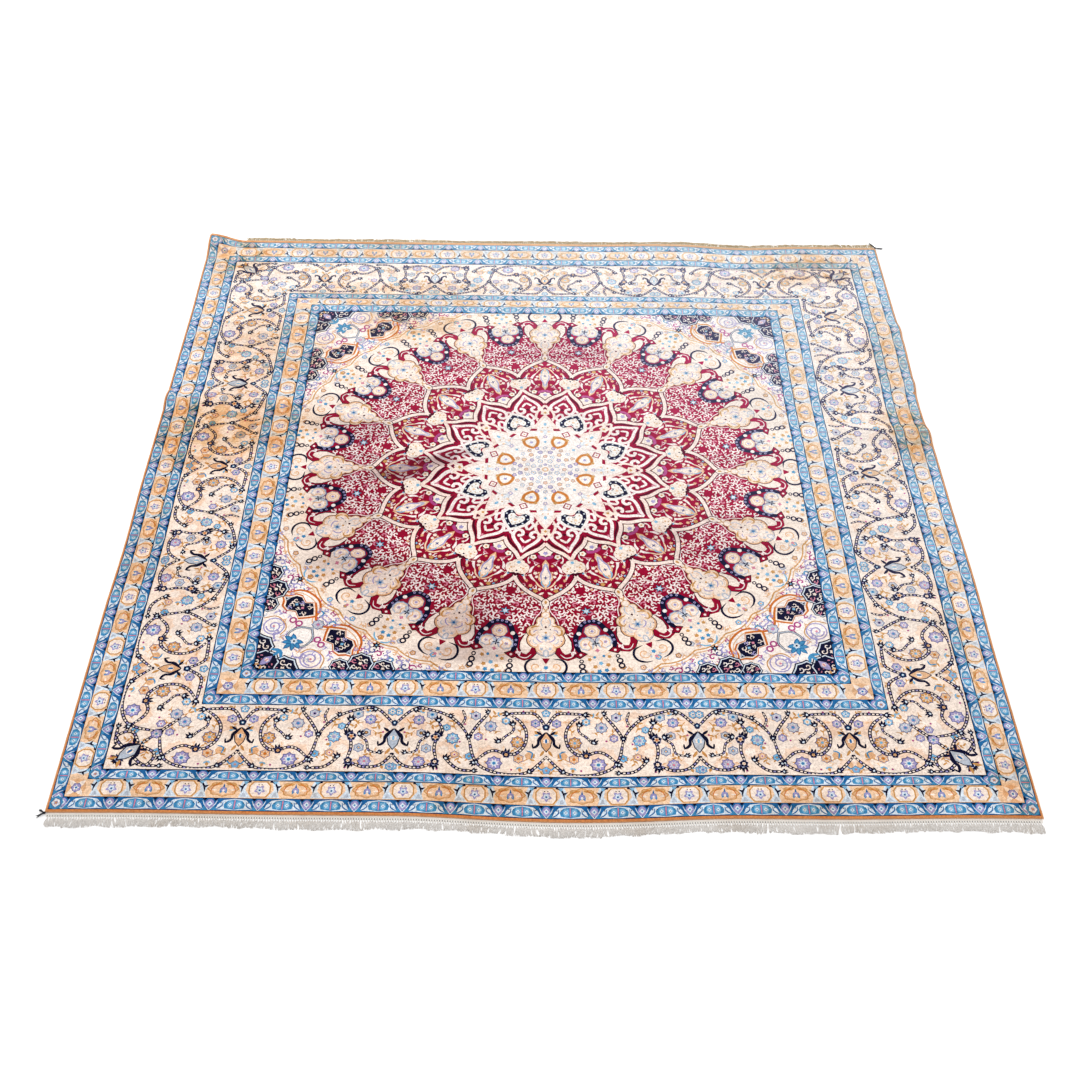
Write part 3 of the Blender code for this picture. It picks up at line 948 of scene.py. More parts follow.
def corner_panel(pen):
    """The half of a corner panel that lies between the straight side and the diagonal."""
    edge = [(0.462, 0.806), (0.476, 0.776), (0.508, 0.758), (0.520, 0.738), (0.512, 0.706),
        (0.522, 0.676), (0.552, 0.646), (0.590, 0.640), (0.612, 0.650), (0.640, 0.640)]
    pen("ivory", [*edge, (0.83, 0.83), (0.46, 0.83)])
    pen("orange", ribbon(edge, 0.0068, step=0.010))
    pen("tan", ribbon([(x + 0.009, y + 0.009) for x, y in edge], 0.0034, step=0.010))
    # ivory and lavender volutes and magenta loops
    pen("lavender", oval(0.647, 0.763, 0.031, steps=14))
    pen("ivory", oval(0.647, 0.763, 0.027, steps=14))
    pen("lavender", ribbon(spiral(0.647, 0.763, 0.022, 0.006, 0, 470, 18), 0.0045))
    pen("rose", oval(0.647, 0.763, 0.0040, steps=6))
    for x, y in ((0.624, 0.712), (0.636, 0.694)):
        pen("magenta", oval(x, y, 0.0115, steps=9))
        pen("ivory", oval(x, y, 0.0062, steps=8))
    for x, y, turn in ((0.600, 0.735, 20), (0.664, 0.722, -60), (0.690, 0.760, 120), (0.600, 0.665, 160),
        (0.700, 0.740, 30), (0.560, 0.735, 80)):
        spray(pen, x, y, turn, 0.9, "lavender")
    pen("ochre", ribbon([(0.618, 0.795), (0.610, 0.762), (0.628, 0.738), (0.655, 0.728),
        (0.678, 0.742)], 0.0036))
    lozenge(moved(pen, 0.5725, 0.700, 36, 0.92))
    for i in range(26):
        x = 0.500 + 0.0115 * i
        y = 0.742 + 0.034 * math.sin(2.3 * i) + 0.018 * math.sin(0.9 * i)
        scroll(pen, x, y, 0.0078, 75 * i, 320 if i % 2 else -320,
            ("lavender", "tan", "lavender", "magenta", "grey")[i % 5], 0.0036)
    # the small crossed flower and the scallops along the guard
    for turn in (0, 60, 120, 180, 240, 300):
        moved(pen, 0.470, 0.712, turn)("navy", leaf(0.014, 0.006))
    pen("sky", oval(0.470, 0.712, 0.003, steps=6))
    for x, y, radius in ((0.509, 0.776, 0.034), (0.566, 0.788, 0.026), (0.446, 0.794, 0.030),
        (0.720, 0.796, 0.040), (0.770, 0.774, 0.036)):
        a = np.linspace(0, 2 * math.pi, 24, endpoint=False)
        edge_wave = radius * (1 + 0.07 * np.cos(8 * a))
        rim_shape = np.column_stack((np.cos(a), np.sin(a))) * edge_wave[:, None]
        pen("navy", rim_shape * 1.10 + (x, y))
        pen("pale", rim_shape + (x, y))
        pen("navy", rim_shape * 0.90 + (x, y))
        for i in range(6):
            scroll(moved(pen, x, y, 60 * i), 0, radius * 0.56, radius * 0.27, 50 * i, 320,
                ("cream", "rose", "ivory")[i % 3], 0.0032)
        pen("cream", petals(x, y, radius * 0.20, 5, 0.5))
    # the stem and the flower on the diagonal
    pen("navy", ribbon([(0.655, 0.655), (0.650, 0.690), (0.668, 0.716), (0.690, 0.722)], 0.0070))
    pen("grey", ribbon([(0.655, 0.655), (0.650, 0.690), (0.668, 0.716), (0.690, 0.722)], 0.0034))


corner_panel(field.pen)
diagonal = spoke(45)
for turn, length in ((0, 0.036), (38, 0.032), (-38, 0.032), (78, 0.030), (-78, 0.030),
    (125, 0.024), (-125, 0.024)):
    moved(diagonal, 0, 0.990, turn)("deep", leaf(length + 0.004, 0.017))
    moved(diagonal, 0, 0.990, turn)("blue", leaf(length, 0.012))
diagonal("pale", petals(0, 0.990, 0.011, 6, 0.35))
diagonal("navy", oval(0, 0.990, 0.0035, steps=6))
for turn in (-50, 0, 50):
    moved(diagonal, 0, 1.035, turn)("blue", leaf(0.030, 0.011))
rosette(diagonal, 0, 0.905, 0.019, "grey", "lavender", "rose", 8)
palmette(diagonal, 0, 1.085, 0, 0.8, "lavender", "rose", "ochre")
print("corner panel:", len(field.loops), "loops so far")

# %% [markdown]
# The crimson star. Sixteen cartouches spread from the inner band, narrow at their shoulders and end in
# two legs that hook away from each other. Fine pale scrolls fill them, with a light blue star low in
# each.

# %% Crimson cartouches
field.pen("maroon", disc(0.574))
field.pen("crimson", disc(0.570))
CARTOUCHE = [
    (0.000, 0.450), (0.105, 0.540), (0.108, 0.575), (0.097, 0.600), (0.093, 0.632), (0.078, 0.646),
    (0.069, 0.668), (0.063, 0.694), (0.066, 0.715), (0.076, 0.731), (0.090, 0.733), (0.097, 0.722),
    (0.100, 0.707), (0.113, 0.700), (0.117, 0.722), (0.106, 0.744), (0.086, 0.756), (0.064, 0.750),
    (0.048, 0.728), (0.044, 0.690), (0.000, 0.690),
]


def fill_with_scrolls(pen, pitch=0.0184):
    """Rows of small tendrils across half a cartouche, turning in alternate ways."""
    for row, level in enumerate(np.arange(0.480, 0.735, pitch * 0.92)):
        inner = np.interp(level, (0.615, 0.640, 0.680), (0.0, 0.036, 0.056))
        outer = np.interp(level, (0.462, 0.512, 0.548, 0.590, 0.632, 0.668, 0.694, 0.735),
            (0, 0.052, 0.098, 0.103, 0.088, 0.066, 0.060, 0.084))
        x = inner + pitch * (0.48 if row % 2 else 0.95)
        column = 0
        while x < outer - 0.003:
            way = 1 if (row + column) % 2 else -1
            scroll(pen, x, level, 0.0098, 97 * row + 140 * column, 300 * way,
                "rose" if (row + 2 * column) % 7 == 0 else "pink", 0.0045)
            x += pitch
            column += 1


for theta in MAIN_SPOKES:
    both = both_sides(theta)
    both("maroon", np.array(CARTOUCHE) + ((0.003, 0.0),))
    both("crimson", np.array(CARTOUCHE))
for theta in MAIN_SPOKES:
    both = both_sides(theta)
    one = spoke(theta)
    fill_with_scrolls(both)
    both("pink", ribbon([(0.060, 0.716), (0.072, 0.742), (0.092, 0.745), (0.104, 0.730)],
        0.0030, 0.6, 0.4))
    both("pink", ribbon([(0.0, 0.476), (0.030, 0.500), (0.064, 0.524), (0.094, 0.545), (0.101, 0.572),
        (0.090, 0.600), (0.087, 0.630)], 0.0028))
    one("maroon", petals(0, 0.592, 0.018, 6, 0.6))
    one("sky", petals(0, 0.592, 0.015, 6, 0.75))
    one("pale", petals(0, 0.592, 0.008, 6, 0.5))


# %% [markdown]
# Below each cartouche a grey and peach trefoil opens under a navy scalloped arch with white beads.
# Small crimson lozenges and navy rings hang from it.

# %% Trefoils
def trefoil(both, one):
    """The trefoil under one crimson cartouche."""
    both("navy", ribbon([(0, 0.632), (0.016, 0.634), (0.030, 0.648), (0.037, 0.664), (0.048, 0.676),
        (0.053, 0.698), (0.052, 0.724), (0.043, 0.742)], 0.016, 1, 0.4))
    for x, y in ((0.0, 0.629), (0.013, 0.631), (0.026, 0.640), (0.0525, 0.690), (0.054, 0.706)):
        both("lavender", oval(x, y, 0.0040, steps=7))
        both("navy", oval(x, y, 0.0018, steps=5))
    both("white", oval(0.0385, 0.668, 0.0068, steps=9))
    one("shade", petals(0, 0.666, 0.0250, 8, 0.10))
    both("shade", petals(0.0245, 0.708, 0.0268, 9, 0.10))
    one("cream", [(-0.046, 0.704), (0.046, 0.704), (0.044, 0.742), (0.020, 0.766), (-0.020, 0.766),
        (-0.044, 0.742)])
    one("apricot", petals(0, 0.666, 0.0225, 8, 0.10))
    one("cream", petals(0, 0.666, 0.0170, 8, 0.16))
    one("tan", petals(0, 0.666, 0.0110, 8, 0.16))
    one("cream", petals(0, 0.666, 0.0085, 8, 0.16))
    both("grey", petals(0.0245, 0.708, 0.0245, 9, 0.10))
    both("cream", petals(0.026, 0.710, 0.0185, 7, 0.20))
    both("apricot", ribbon([(0.012, 0.692), (0.030, 0.692), (0.041, 0.704), (0.038, 0.720)],
        0.0046, 0.4, 0.4))
    both("tan", ribbon([(0.012, 0.698), (0.020, 0.710), (0.014, 0.724), (0.026, 0.732)],
        0.0040, 0.4, 0.4))
    both("lavender", petals(0.029, 0.709, 0.0070, 5, 0.5))
    both("ochre", oval(0.029, 0.709, 0.0022, steps=5))
    both("cream", ribbon([(0.004, 0.652), (0.014, 0.660), (0.012, 0.674)], 0.0040, 0.5, 0.4))
    both("apricot", ribbon([(0.006, 0.760), (0.024, 0.752), (0.040, 0.742)], 0.0046, 0.5, 0.4))
    one("lavender", petals(0, 0.666, 0.0060, 4, 0.5))
    one("navy", petals(0, 0.711, 0.0120, 4, 0.9, 0, 4))
    one("rose", petals(0, 0.735, 0.0080, 4, 0.5))
    both("blue", oval(0.013, 0.757, 0.0046, steps=7))
    both("ochre", petals(0.028, 0.762, 0.0070, 5, 0.4))
    both("maroon", [(0.028, 0.742), (0.045, 0.729), (0.071, 0.742), (0.054, 0.756)])
    both("crimson", [(0.033, 0.742), (0.046, 0.733), (0.066, 0.742), (0.053, 0.752)])
    both("pink", oval(0.049, 0.742, 0.0042, steps=6))
    for x, y, radius in ((0.0515, 0.764, 0.0068), (0.0535, 0.781, 0.0102), (0.0545, 0.7985, 0.0102)):
        both("navy", oval(x, y, radius, steps=10))
        both("cream", oval(x, y, radius * 0.50, steps=8))
    for x, y, colour in ((0.0, 0.780, "sky"), (0.018, 0.789, "ochre"), (0.030, 0.806, "tan"),
        (0.010, 0.806, "blue"), (0.0, 0.824, "ochre")):
        both(colour, petals(x, y, 0.0078, 5, 0.4))


on_axes(trefoil, MAIN_SPOKES)


# %% [markdown]
# Between the cartouches stand ivory and gold clouds, each with a grey flower and gold crescents, and
# beyond each cloud a gold shell cupped by two navy crescents.

# %% Clouds and shells
def cloud(both, one):
    """The cloud and the shell on an axis between two cartouches."""
    lobes = ((0, 0.596, 0.013), (0.011, 0.618, 0.016), (0.034, 0.654, 0.020), (0.026, 0.686, 0.027),
        (0, 0.650, 0.036), (0, 0.712, 0.030))
    for grow, colour in ((0.0026, "maroon"), (0.0, "tan"), (-0.0032, "cream"), (-0.0085, "peach"),
        (-0.0115, "cream")):
        for x, y, radius in lobes:
            if radius + grow > 0.006:
                both(colour, oval(x, y, radius + grow, steps=14))
    both("grey", ribbon([(0.006, 0.604), (0.014, 0.622), (0.008, 0.640)], 0.0036, 0.4, 0.3))
    both("ochre", ribbon([(0.018, 0.636), (0.036, 0.640), (0.046, 0.656), (0.040, 0.670), (0.028, 0.664)],
        0.0060, 0.4, 0.3))
    both("lavender", ribbon([(0.022, 0.650), (0.032, 0.654), (0.034, 0.662)], 0.0030, 0.4, 0.3))
    both("tan", ribbon([(0.050, 0.682), (0.044, 0.702), (0.028, 0.712), (0.020, 0.702)],
        0.0052, 0.4, 0.3))
    both("grey", ribbon([(0.034, 0.684), (0.034, 0.694), (0.024, 0.700)], 0.0030, 0.4, 0.3))
    both("apricot", ribbon([(0.012, 0.728), (0.022, 0.720), (0.022, 0.708)], 0.0044, 0.4, 0.3))
    both("grey", petals(0.012, 0.717, 0.0056, 5, 0.4))
    both("ochre", oval(0.0, 0.660, 0.0040, steps=6))
    both("lavender", ribbon([(0.008, 0.694), (0.018, 0.690), (0.026, 0.678), (0.020, 0.668)],
        0.0036, 0.4, 0.3))
    both("apricot", petals(0.040, 0.648, 0.0056, 5, 0.4))
    both("shade", oval(0.044, 0.690, 0.0022, steps=5))
    both("grey", ribbon([(0.000, 0.742), (0.014, 0.738), (0.026, 0.728)], 0.0030, 0.4, 0.3))
    one("grey", petals(0, 0.678, 0.0165, 6, 0.6))
    one("deep", petals(0, 0.678, 0.0080, 6, 0.7))
    both("navy", oval(0.013, 0.648, 0.0022, steps=5))
    one("maroon", petals(0, 0.640, 0.0050, 4, 0.5))
    one("grey", oval(0, 0.733, 0.0090, 0.0140, 10))
    one("ivory", oval(0, 0.733, 0.0050, 0.0090, 8))
    # the shell
    both("navy", ribbon([(0.020, 0.752), (0.046, 0.757), (0.057, 0.776), (0.052, 0.796), (0.034, 0.809),
        (0.016, 0.812)], 0.0070, 0.2, 0.2))
    both("cream", oval(0.0265, 0.780, 0.0265, 0.0255, 14))
    both("tan", ribbon(spiral(0.0270, 0.780, 0.0180, 0.0060, 300, 640, 14), 0.0038))
    both("apricot", oval(0.0270, 0.780, 0.0052, steps=7))
    both("grey", oval(0.014, 0.796, 0.0042, steps=6))
    one("crimson", [(-0.011, 0.750), (0.011, 0.750), (0.005, 0.762), (0, 0.770), (-0.005, 0.762)])
    one("blue", petals(0, 0.782, 0.0078, 5, 0.4))
    one("rose", oval(0, 0.800, 0.0050, steps=7))


on_axes(cloud, SIDE_SPOKES)

# %% [markdown]
# Inside the cartouches lies a ring of lozenge cells, parted by pale straps that cross like an arcade.
# Each cell holds a cream fan flower over a long cream palmette, with pale crescents at its sides.

# %% Cells
def cell(both, one):
    """One lozenge cell between the inner and the outer arches."""
    one("magenta", oval(0, 0.372, 0.024, 0.012, 10))
    both("pink", ribbon([(0.030, 0.470), (0.043, 0.450), (0.044, 0.426), (0.034, 0.410)],
        0.0080, 0.3, 0.4))
    both("cream", ribbon([(0.054, 0.472), (0.063, 0.452), (0.059, 0.430), (0.048, 0.420)],
        0.0060, 0.3, 0.4))
    scroll(both, 0.062, 0.482, 0.0085, 0, 300, "rose", 0.0030)
    scroll(both, 0.026, 0.398, 0.0080, 120, -300, "pink", 0.0030)
    both("rose", ribbon([(0.018, 0.400), (0.034, 0.392), (0.044, 0.378)], 0.0040, 0.4, 0.4))
    body = [(0, 0.384), (0.010, 0.402), (0.009, 0.424), (0.020, 0.444), (0.022, 0.462),
        (0.009, 0.482), (0, 0.504)]
    one("tan", whole(body))
    one("cream", sized(whole(body), 0.82, 0.444))
    both("lavender", ribbon([(0.003, 0.402), (0.007, 0.424), (0.014, 0.444), (0.012, 0.464)],
        0.0046, 0.4, 0.4))
    both("sky", ribbon([(0.003, 0.492), (0.012, 0.478), (0.011, 0.466)], 0.0044, 0.4, 0.4))
    scroll(both, 0.051, 0.446, 0.0070, 60, 320, "cream", 0.0030)
    scroll(both, 0.074, 0.476, 0.0062, 160, -320, "rose", 0.0028)
    scroll(both, 0.050, 0.514, 0.0070, 160, -320, "cream", 0.0028)
    both("apricot", ribbon([(0.004, 0.498), (0.020, 0.486), (0.030, 0.468)], 0.0050, 0.6, 0.4))
    scroll(both, 0.034, 0.492, 0.0090, 200, 310, "pink", 0.0032)
    scroll(both, 0.078, 0.508, 0.0070, 40, 310, "pink", 0.0030)
    both("cream", moved_leaf(0.006, 0.512, -50, 0.020, 0.008))
    both("pink", ribbon([(0.048, 0.400), (0.052, 0.384), (0.046, 0.370)], 0.0040, 0.5, 0.4))
    both("tan", petals(0.044, 0.486, 0.0068, 5, 0.4))
    both("lavender", petals(0.052, 0.412, 0.0062, 5, 0.4))
    both("apricot", petals(0.020, 0.436, 0.0040, 5, 0.4))
    one("shade", petals(0, 0.456, 0.0085, 4, 0.8))
    one("grey", oval(0, 0.407, 0.0030, 0.0080, 6))
    one("tan", petals(0, 0.484, 0.0056, 4, 0.4))
    one("maroon", oval(0, 0.350, 0.0250, 0.0240, 14))
    one("cream", petals(0, 0.350, 0.0235, 9, 0.16))
    one("lavender", petals(0, 0.359, 0.0090, 5, 0.45))
    for lean in (-66, -33, 0, 33, 66):
        a = math.radians(lean)
        one("ochre", oval(0.0145 * math.sin(a), 0.350 - 0.0145 * math.cos(a), 0.0018, steps=4))
    both("maroon", oval(0.036, 0.374, 0.0125, steps=9))
    both("cream", petals(0.036, 0.374, 0.0108, 5, 0.25))
    both("ochre", oval(0.036, 0.374, 0.0036, steps=6))
    both("ochre", petals(0.030, 0.506, 0.0085, 5, 0.4))
    both("cream", petals(0.060, 0.500, 0.0100, 5, 0.3))
    both("orange", oval(0.060, 0.500, 0.0032, steps=6))
    both("tan", petals(0.013, 0.530, 0.0075, 5, 0.4))
    both("cream", petals(0.030, 0.438, 0.0070, 5, 0.3))
    for x, y, size, colour in (
        (0.026, 0.452, 0.0062, "cream"), (0.056, 0.466, 0.0060, "tan"), (0.066, 0.446, 0.0050, "sky"),
        (0.036, 0.428, 0.0050, "grey"), (0.020, 0.410, 0.0050, "tan"),
        (0.044, 0.500, 0.0052, "sky"), (0.078, 0.494, 0.0060, "cream"), (0.068, 0.512, 0.0050, "tan"),
        (0.018, 0.500, 0.0056, "cream"), (0.048, 0.396, 0.0050, "cream"),
    ):
        both(colour, petals(x, y, size, 5, 0.4))


on_axes(cell, SIDE_SPOKES)


def straps(both, one):
    """The pale straps of the two arcades, about the axis of one cartouche."""
    reach = 0.550 * math.sin(math.radians(11.25))
    level = 0.550 * math.cos(math.radians(11.25))
    outer = [(0, 0.462), (0.016, 0.484), (0.040, 0.503), (0.068, 0.518), (0.092, 0.527), (reach, level)]
    foot = 0.318 * math.sin(math.radians(11.25))
    inner = [(0, 0.392), (0.016, 0.368), (0.034, 0.352), (0.050, 0.336),
        (foot, 0.318 * math.cos(math.radians(11.25)))]
    down = [(0, 0.462), (0, 0.440)]
    for path in (inner, outer, down):
        both("maroon", ribbon(path, 0.0180, step=0.012))
    for path in (inner, outer, down):
        both("strap", ribbon(path, 0.0118, step=0.012))
    # the fan rosette where the straps meet
    one("maroon", petals(0, 0.424, 0.0340, 9, 0.16))
    both("crimson", ribbon([(0.026, 0.446), (0.046, 0.436), (0.048, 0.412)], 0.0060, 0.3, 0.3))
    both("cream", oval(0.0165, 0.424, 0.0190, 0.0225, 12))
    one("cream", petals(0, 0.420, 0.0265, 8, 0.14))
    both("cream", oval(0.0090, 0.403, 0.0100, steps=8))
    one("sky", petals(0, 0.403, 0.0066, 5, 0.3))
    one("navy", oval(0, 0.436, 0.0032, steps=6))
    for x, y in ((0.010, 0.422), (0.022, 0.434), (0.024, 0.414), (0.012, 0.440)):
        both("ochre", oval(x, y, 0.0024, steps=5))
    both("tan", petals(0.018, 0.425, 0.0048, 5, 0.4))


on_axes(straps, MAIN_SPOKES)
for theta in SIDE_SPOKES:
    knot = spoke(theta)
    knot("maroon", oval(0, 0.552, 0.0130, 0.0180, 10))
    knot("cream", oval(0, 0.552, 0.0105, 0.0155, 10))
    knot("ochre", oval(0, 0.549, 0.0042, 0.0068, 7))
    mirrored(knot)("cream", moved_leaf(0.004, 0.566, 40, 0.026, 0.011))
    mirrored(knot)("ochre", moved_leaf(0.007, 0.570, 40, 0.015, 0.004))
print("cells and straps:", len(field.loops), "loops so far")

# %% [markdown]
# The band inside the arcade. Bold pink and ivory arabesques curl on crimson round eight navy hearts,
# and ivory points of the central rosette reach between them.

# %% Hearts and arabesques
HEART = [(0, 0.277), (0.018, 0.262), (0.034, 0.244), (0.041, 0.224), (0.034, 0.207), (0.020, 0.204),
    (0.010, 0.212), (0.0075, 0.222), (0, 0.226)]


def curls(both, one):
    """The arabesque about the axis of one cartouche, inside the arcade."""
    one("crimson", whole([(0, 0.385), (0.020, 0.356), (0.056, 0.318), (0.060, 0.260), (0.046, 0.206)]))
    both("maroon", ribbon([(0.006, 0.372), (0.022, 0.346), (0.046, 0.322), (0.056, 0.300)],
        0.0060, 0.4, 0.4))
    both("pink", ribbon([(0.000, 0.362), (0.012, 0.340), (0.030, 0.318), (0.040, 0.296), (0.032, 0.274),
        (0.016, 0.276), (0.012, 0.290), (0.021, 0.298)], 0.0108, 0.6, 0.7))
    both("pink", ribbon([(0.0, 0.322), (0.010, 0.312), (0.016, 0.304)], 0.0080, 0.8, 0.4))
    both("pink", ribbon([(0.0, 0.232), (0.012, 0.244), (0.006, 0.262), (0.0, 0.268)], 0.0088, 0.7, 0.7))
    both("pink", ribbon([(0.040, 0.296), (0.054, 0.282), (0.052, 0.262), (0.040, 0.252), (0.028, 0.256)],
        0.0084, 0.7, 0.5))
    both("pink", ribbon([(0.012, 0.244), (0.026, 0.236), (0.038, 0.222)], 0.0070, 0.7, 0.5))
    both("pink", oval(0.021, 0.296, 0.0065, steps=8))
    one("rose", petals(0, 0.342, 0.0060, 4, 0.4))
    both("maroon", oval(0.026, 0.288, 0.0036, steps=6))
    one("maroon", petals(0, 0.288, 0.0070, 4, 0.5))


def heart(both, one):
    """A navy outlined heart with white beads, its notch towards the middle."""
    shape = whole(HEART)
    one("pink", sized(shape, 1.32, 0.236))
    one("white", sized(shape, 1.14, 0.236))
    one("navy", shape)
    one("white", sized(shape, 0.66, 0.236))
    for x, y in ((0.012, 0.2625), (0.027, 0.2455), (0.0345, 0.2240), (0.0235, 0.2105)):
        both("pale", oval(x, y, 0.0032, steps=6))
    for x, y in ((0.006, 0.252), (0.014, 0.240), (0.018, 0.226)):
        both("ochre", oval(x, y, 0.0024, steps=5))
    one("apricot", petals(0, 0.240, 0.0060, 5, 0.4))
    one("crimson", whole([(0, 0.192), (0.016, 0.176), (0, 0.160)]))
    one("pink", whole([(0, 0.187), (0.011, 0.176), (0, 0.165)]))
    one("ochre", oval(0, 0.176, 0.0030, steps=6))


def ivory_point(both, one):
    """The rosette's ivory point with the cream palmette beyond it."""
    one("crimson", [(-0.050, 0.180), (0.050, 0.180), (0.020, 0.240), (0.030, 0.262), (0, 0.300),
        (-0.030, 0.262), (-0.020, 0.240)])
    one("strap", whole([(0, 0.262), (0.016, 0.240), (0.030, 0.214), (0.045, 0.190)]))
    one("ivory", whole([(0, 0.248), (0.012, 0.226), (0.024, 0.196), (0.030, 0.170)]))
    both("strap", ribbon([(0.024, 0.226), (0.030, 0.250), (0.024, 0.274), (0.010, 0.292),
        (0, 0.306)], 0.0085, 0.5, 1))
    one("cream", petals(0, 0.270, 0.0170, 6, 0.3))
    both("cream", moved_leaf(0, 0.276, 62, 0.032, 0.012))
    one("ochre", petals(0, 0.269, 0.0062, 4, 0.4))
    one("navy", [(-0.004, 0.288), (0.004, 0.288), (0, 0.296)])
    one("sky", oval(0, 0.212, 0.0050, 0.0080, 7))
    both("ochre", oval(0.008, 0.196, 0.0028, steps=5))


field.pen("crimson", disc(0.318, 0.02, 16, 0))
on_axes(curls, MAIN_SPOKES)
field.pen("strap", disc(0.206, 0.05, 16))
field.pen("ivory", disc(0.198, 0.05, 16))
on_axes(ivory_point, (0.0, 45.0))
on_axes(heart, (22.5,))
for theta in MAIN_SPOKES:
    both = both_sides(theta)
    both("strap", ribbon([(0.0, 0.392), (0.016, 0.366), (0.034, 0.350), (0.050, 0.334), (0.062, 0.312)],
        0.0100, step=0.012))

# %% [markdown]
# The middle: an ivory rosette with gold heart flowers, thin grey-blue crescents, and a fine lattice of
# small lavender, grey and gold flowers.

# %% Rosette
gold = spoke(19.5)
path = [(0, 0.155), (0.019, 0.149), (0.022, 0.130), (0.010, 0.112), (0, 0.106)]
mirrored(gold)("ochre", ribbon(path, 0.0110))
mirrored(gold)("orange", ribbon(path, 0.0056))
gold("white", oval(0, 0.132, 0.0105, 0.0125, 9))
gold("lavender", petals(0, 0.132, 0.0070, 5, 0.5))
mirrored(gold)("ochre", petals(0.022, 0.151, 0.0072, 5, 0.4))
for theta in (5.0, 34.0):
    edge = spoke(theta)
    side = -1 if theta < 20 else 1
    edge("grey", ribbon([(0.020 * side, 0.142), (0.026 * side, 0.162), (0.014 * side, 0.178),
        (-0.006 * side, 0.184)], 0.0032, 0.3, 0.3))
for theta in (0.0, 45.0):
    one = spoke(theta)
    one("lavender", petals(0, 0.152, 0.0090, 5, 0.45))
    one("cream", petals(0, 0.152, 0.0048, 5, 0.45))
    mirrored(one)("apricot", petals(0.012, 0.176, 0.0056, 5, 0.4))
    one("pale", moved_leaf(0, 0.160, 0, 0.028, 0.010))
    one("sky", petals(0, 0.128, 0.0070, 4, 0.5))
for i, (radius, count, size) in enumerate(((0.100, 24, 0.0078), (0.080, 16, 0.0086), (0.060, 16, 0.0078),
    (0.040, 8, 0.0090), (0.022, 8, 0.0062))):
    for k in range(-1, count // 8 + 2):
        theta = (k + 0.5 * (i % 2)) * 360 / count
        outer = ("grey", "lavender", "tan", "pale", "lavender")[(i + k) % 5]
        rosette(spoke(theta), 0, radius, size, outer, "ivory",
            ("ochre", "deep", "rose")[(i + 2 * k) % 3], 5)
        spoke(theta)("grey", ribbon([(0, radius - 0.012), (0.004, radius - 0.019)], 0.0022, step=0.01))
field.pen("tan", oval(0, 0, 0.011, steps=8))
field.pen("white", oval(0, 0, 0.006, steps=8))

# %% [markdown]
# Two narrow blue guards and a gold one close the field. They hold fewer repeats than the outer ones,
# because each guard's side is shorter. Then the whole field is cut at once.

# %% Inner guards
blue_guard(field.pen, THIRD_BLUE, 14)
gold_guard(field.pen, INNER_GOLD, 9)
blue_guard(field.pen, LAST_BLUE, 13)
field_cut = field.cut()
print("field octant:", len(field.loops), "loops,", len(field_cut[1]), "triangles")

# %% [markdown]
# The yarns. The pile is soft wool with a silky shine: its colour comes from the yarn of each triangle,
# and the material adds the grain of the knots, bands where a new dye lot began, stains that have soaked
# in, painted shade along the creases and over the near left, and a painted sheen that washes out the far
# half, where the pile leans away from the light.

# %% Material helpers
def node(tree, kind, **sockets):
    """A shader node with its constants set on its sockets."""
    made = tree.nodes.new(kind)
    for name, value in sockets.items():
        made.inputs[name.replace("_", " ")].default_value = value
    return made


def math_node(tree, operation, a, b):
    """One sum on sockets or numbers."""
    made = tree.nodes.new("ShaderNodeMath")
    made.operation = operation
    for slot, value in zip(made.inputs, (a, b)):
        if isinstance(value, (int, float)):
            slot.default_value = value
        else:
            tree.links.new(value, slot)
    return made.outputs[0]


def times(tree, a, b):
    """The product of sockets or numbers."""
    return math_node(tree, "MULTIPLY", a, b)


def vector_node(tree, operation, place, numbers=(0, 0, 0)):
    """The outputs of one sum on a vector socket and three numbers."""
    made = tree.nodes.new("ShaderNodeVectorMath")
    made.operation = operation
    tree.links.new(place, made.inputs[0])
    made.inputs[1].default_value = numbers
    return made.outputs


def blend_node(tree, factor, a, b, mode="MIX"):
    """Mixes two colours, each a socket or a dye in linear light."""
    made = tree.nodes.new("ShaderNodeMix")
    made.data_type = "RGBA"
    made.blend_type = mode
    for slot, value in ((made.inputs[0], factor), (made.inputs[6], a), (made.inputs[7], b)):
        if isinstance(value, (int, float, tuple, list)):
            slot.default_value = value
        else:
            tree.links.new(value, slot)
    return made.outputs[2]


def noise_node(tree, place, scale, detail=2.0, roughness=0.5):
    """Noise over a place."""
    made = node(tree, "ShaderNodeTexNoise", Scale=scale, Detail=detail, Roughness=roughness)
    tree.links.new(place, made.inputs["Vector"])
    return made.outputs["Fac"]


def level_node(tree, value, low, high, out_low=0.0, out_high=1.0):
    """Stretches a value from one range to another, smoothly and without overshoot."""
    made = tree.nodes.new("ShaderNodeMapRange")
    made.interpolation_type = "SMOOTHSTEP"
    tree.links.new(value, made.inputs["Value"])
    for name, number in (("From Min", low), ("From Max", high), ("To Min", out_low),
        ("To Max", out_high)):
        made.inputs[name].default_value = number
    return made.outputs["Result"]


def spot_node(tree, place, centre, size, wobble):
    """A soft patch about a centre, with a wandering edge: 1 in its middle."""
    shift = vector_node(tree, "SUBTRACT", place, (centre[0], centre[1], 0))
    scale = vector_node(tree, "MULTIPLY", shift[0], (1 / size[0], 1 / size[1], 0))
    size_of = vector_node(tree, "LENGTH", scale[0])
    away = math_node(tree, "ADD", size_of["Value"], times(tree, wobble, 0.9))
    return level_node(tree, away, 0.55, 1.45, 1.0, 0.0)


def new_material(name, roughness):
    """A material with one principled skin and its object coordinates."""
    material = bpy.data.materials.new(name)
    material.use_nodes = True
    tree = material.node_tree
    skin = tree.nodes["Principled BSDF"]
    skin.inputs["Roughness"].default_value = roughness
    place = tree.nodes.new("ShaderNodeTexCoord").outputs["Object"]
    return material, tree, skin, place
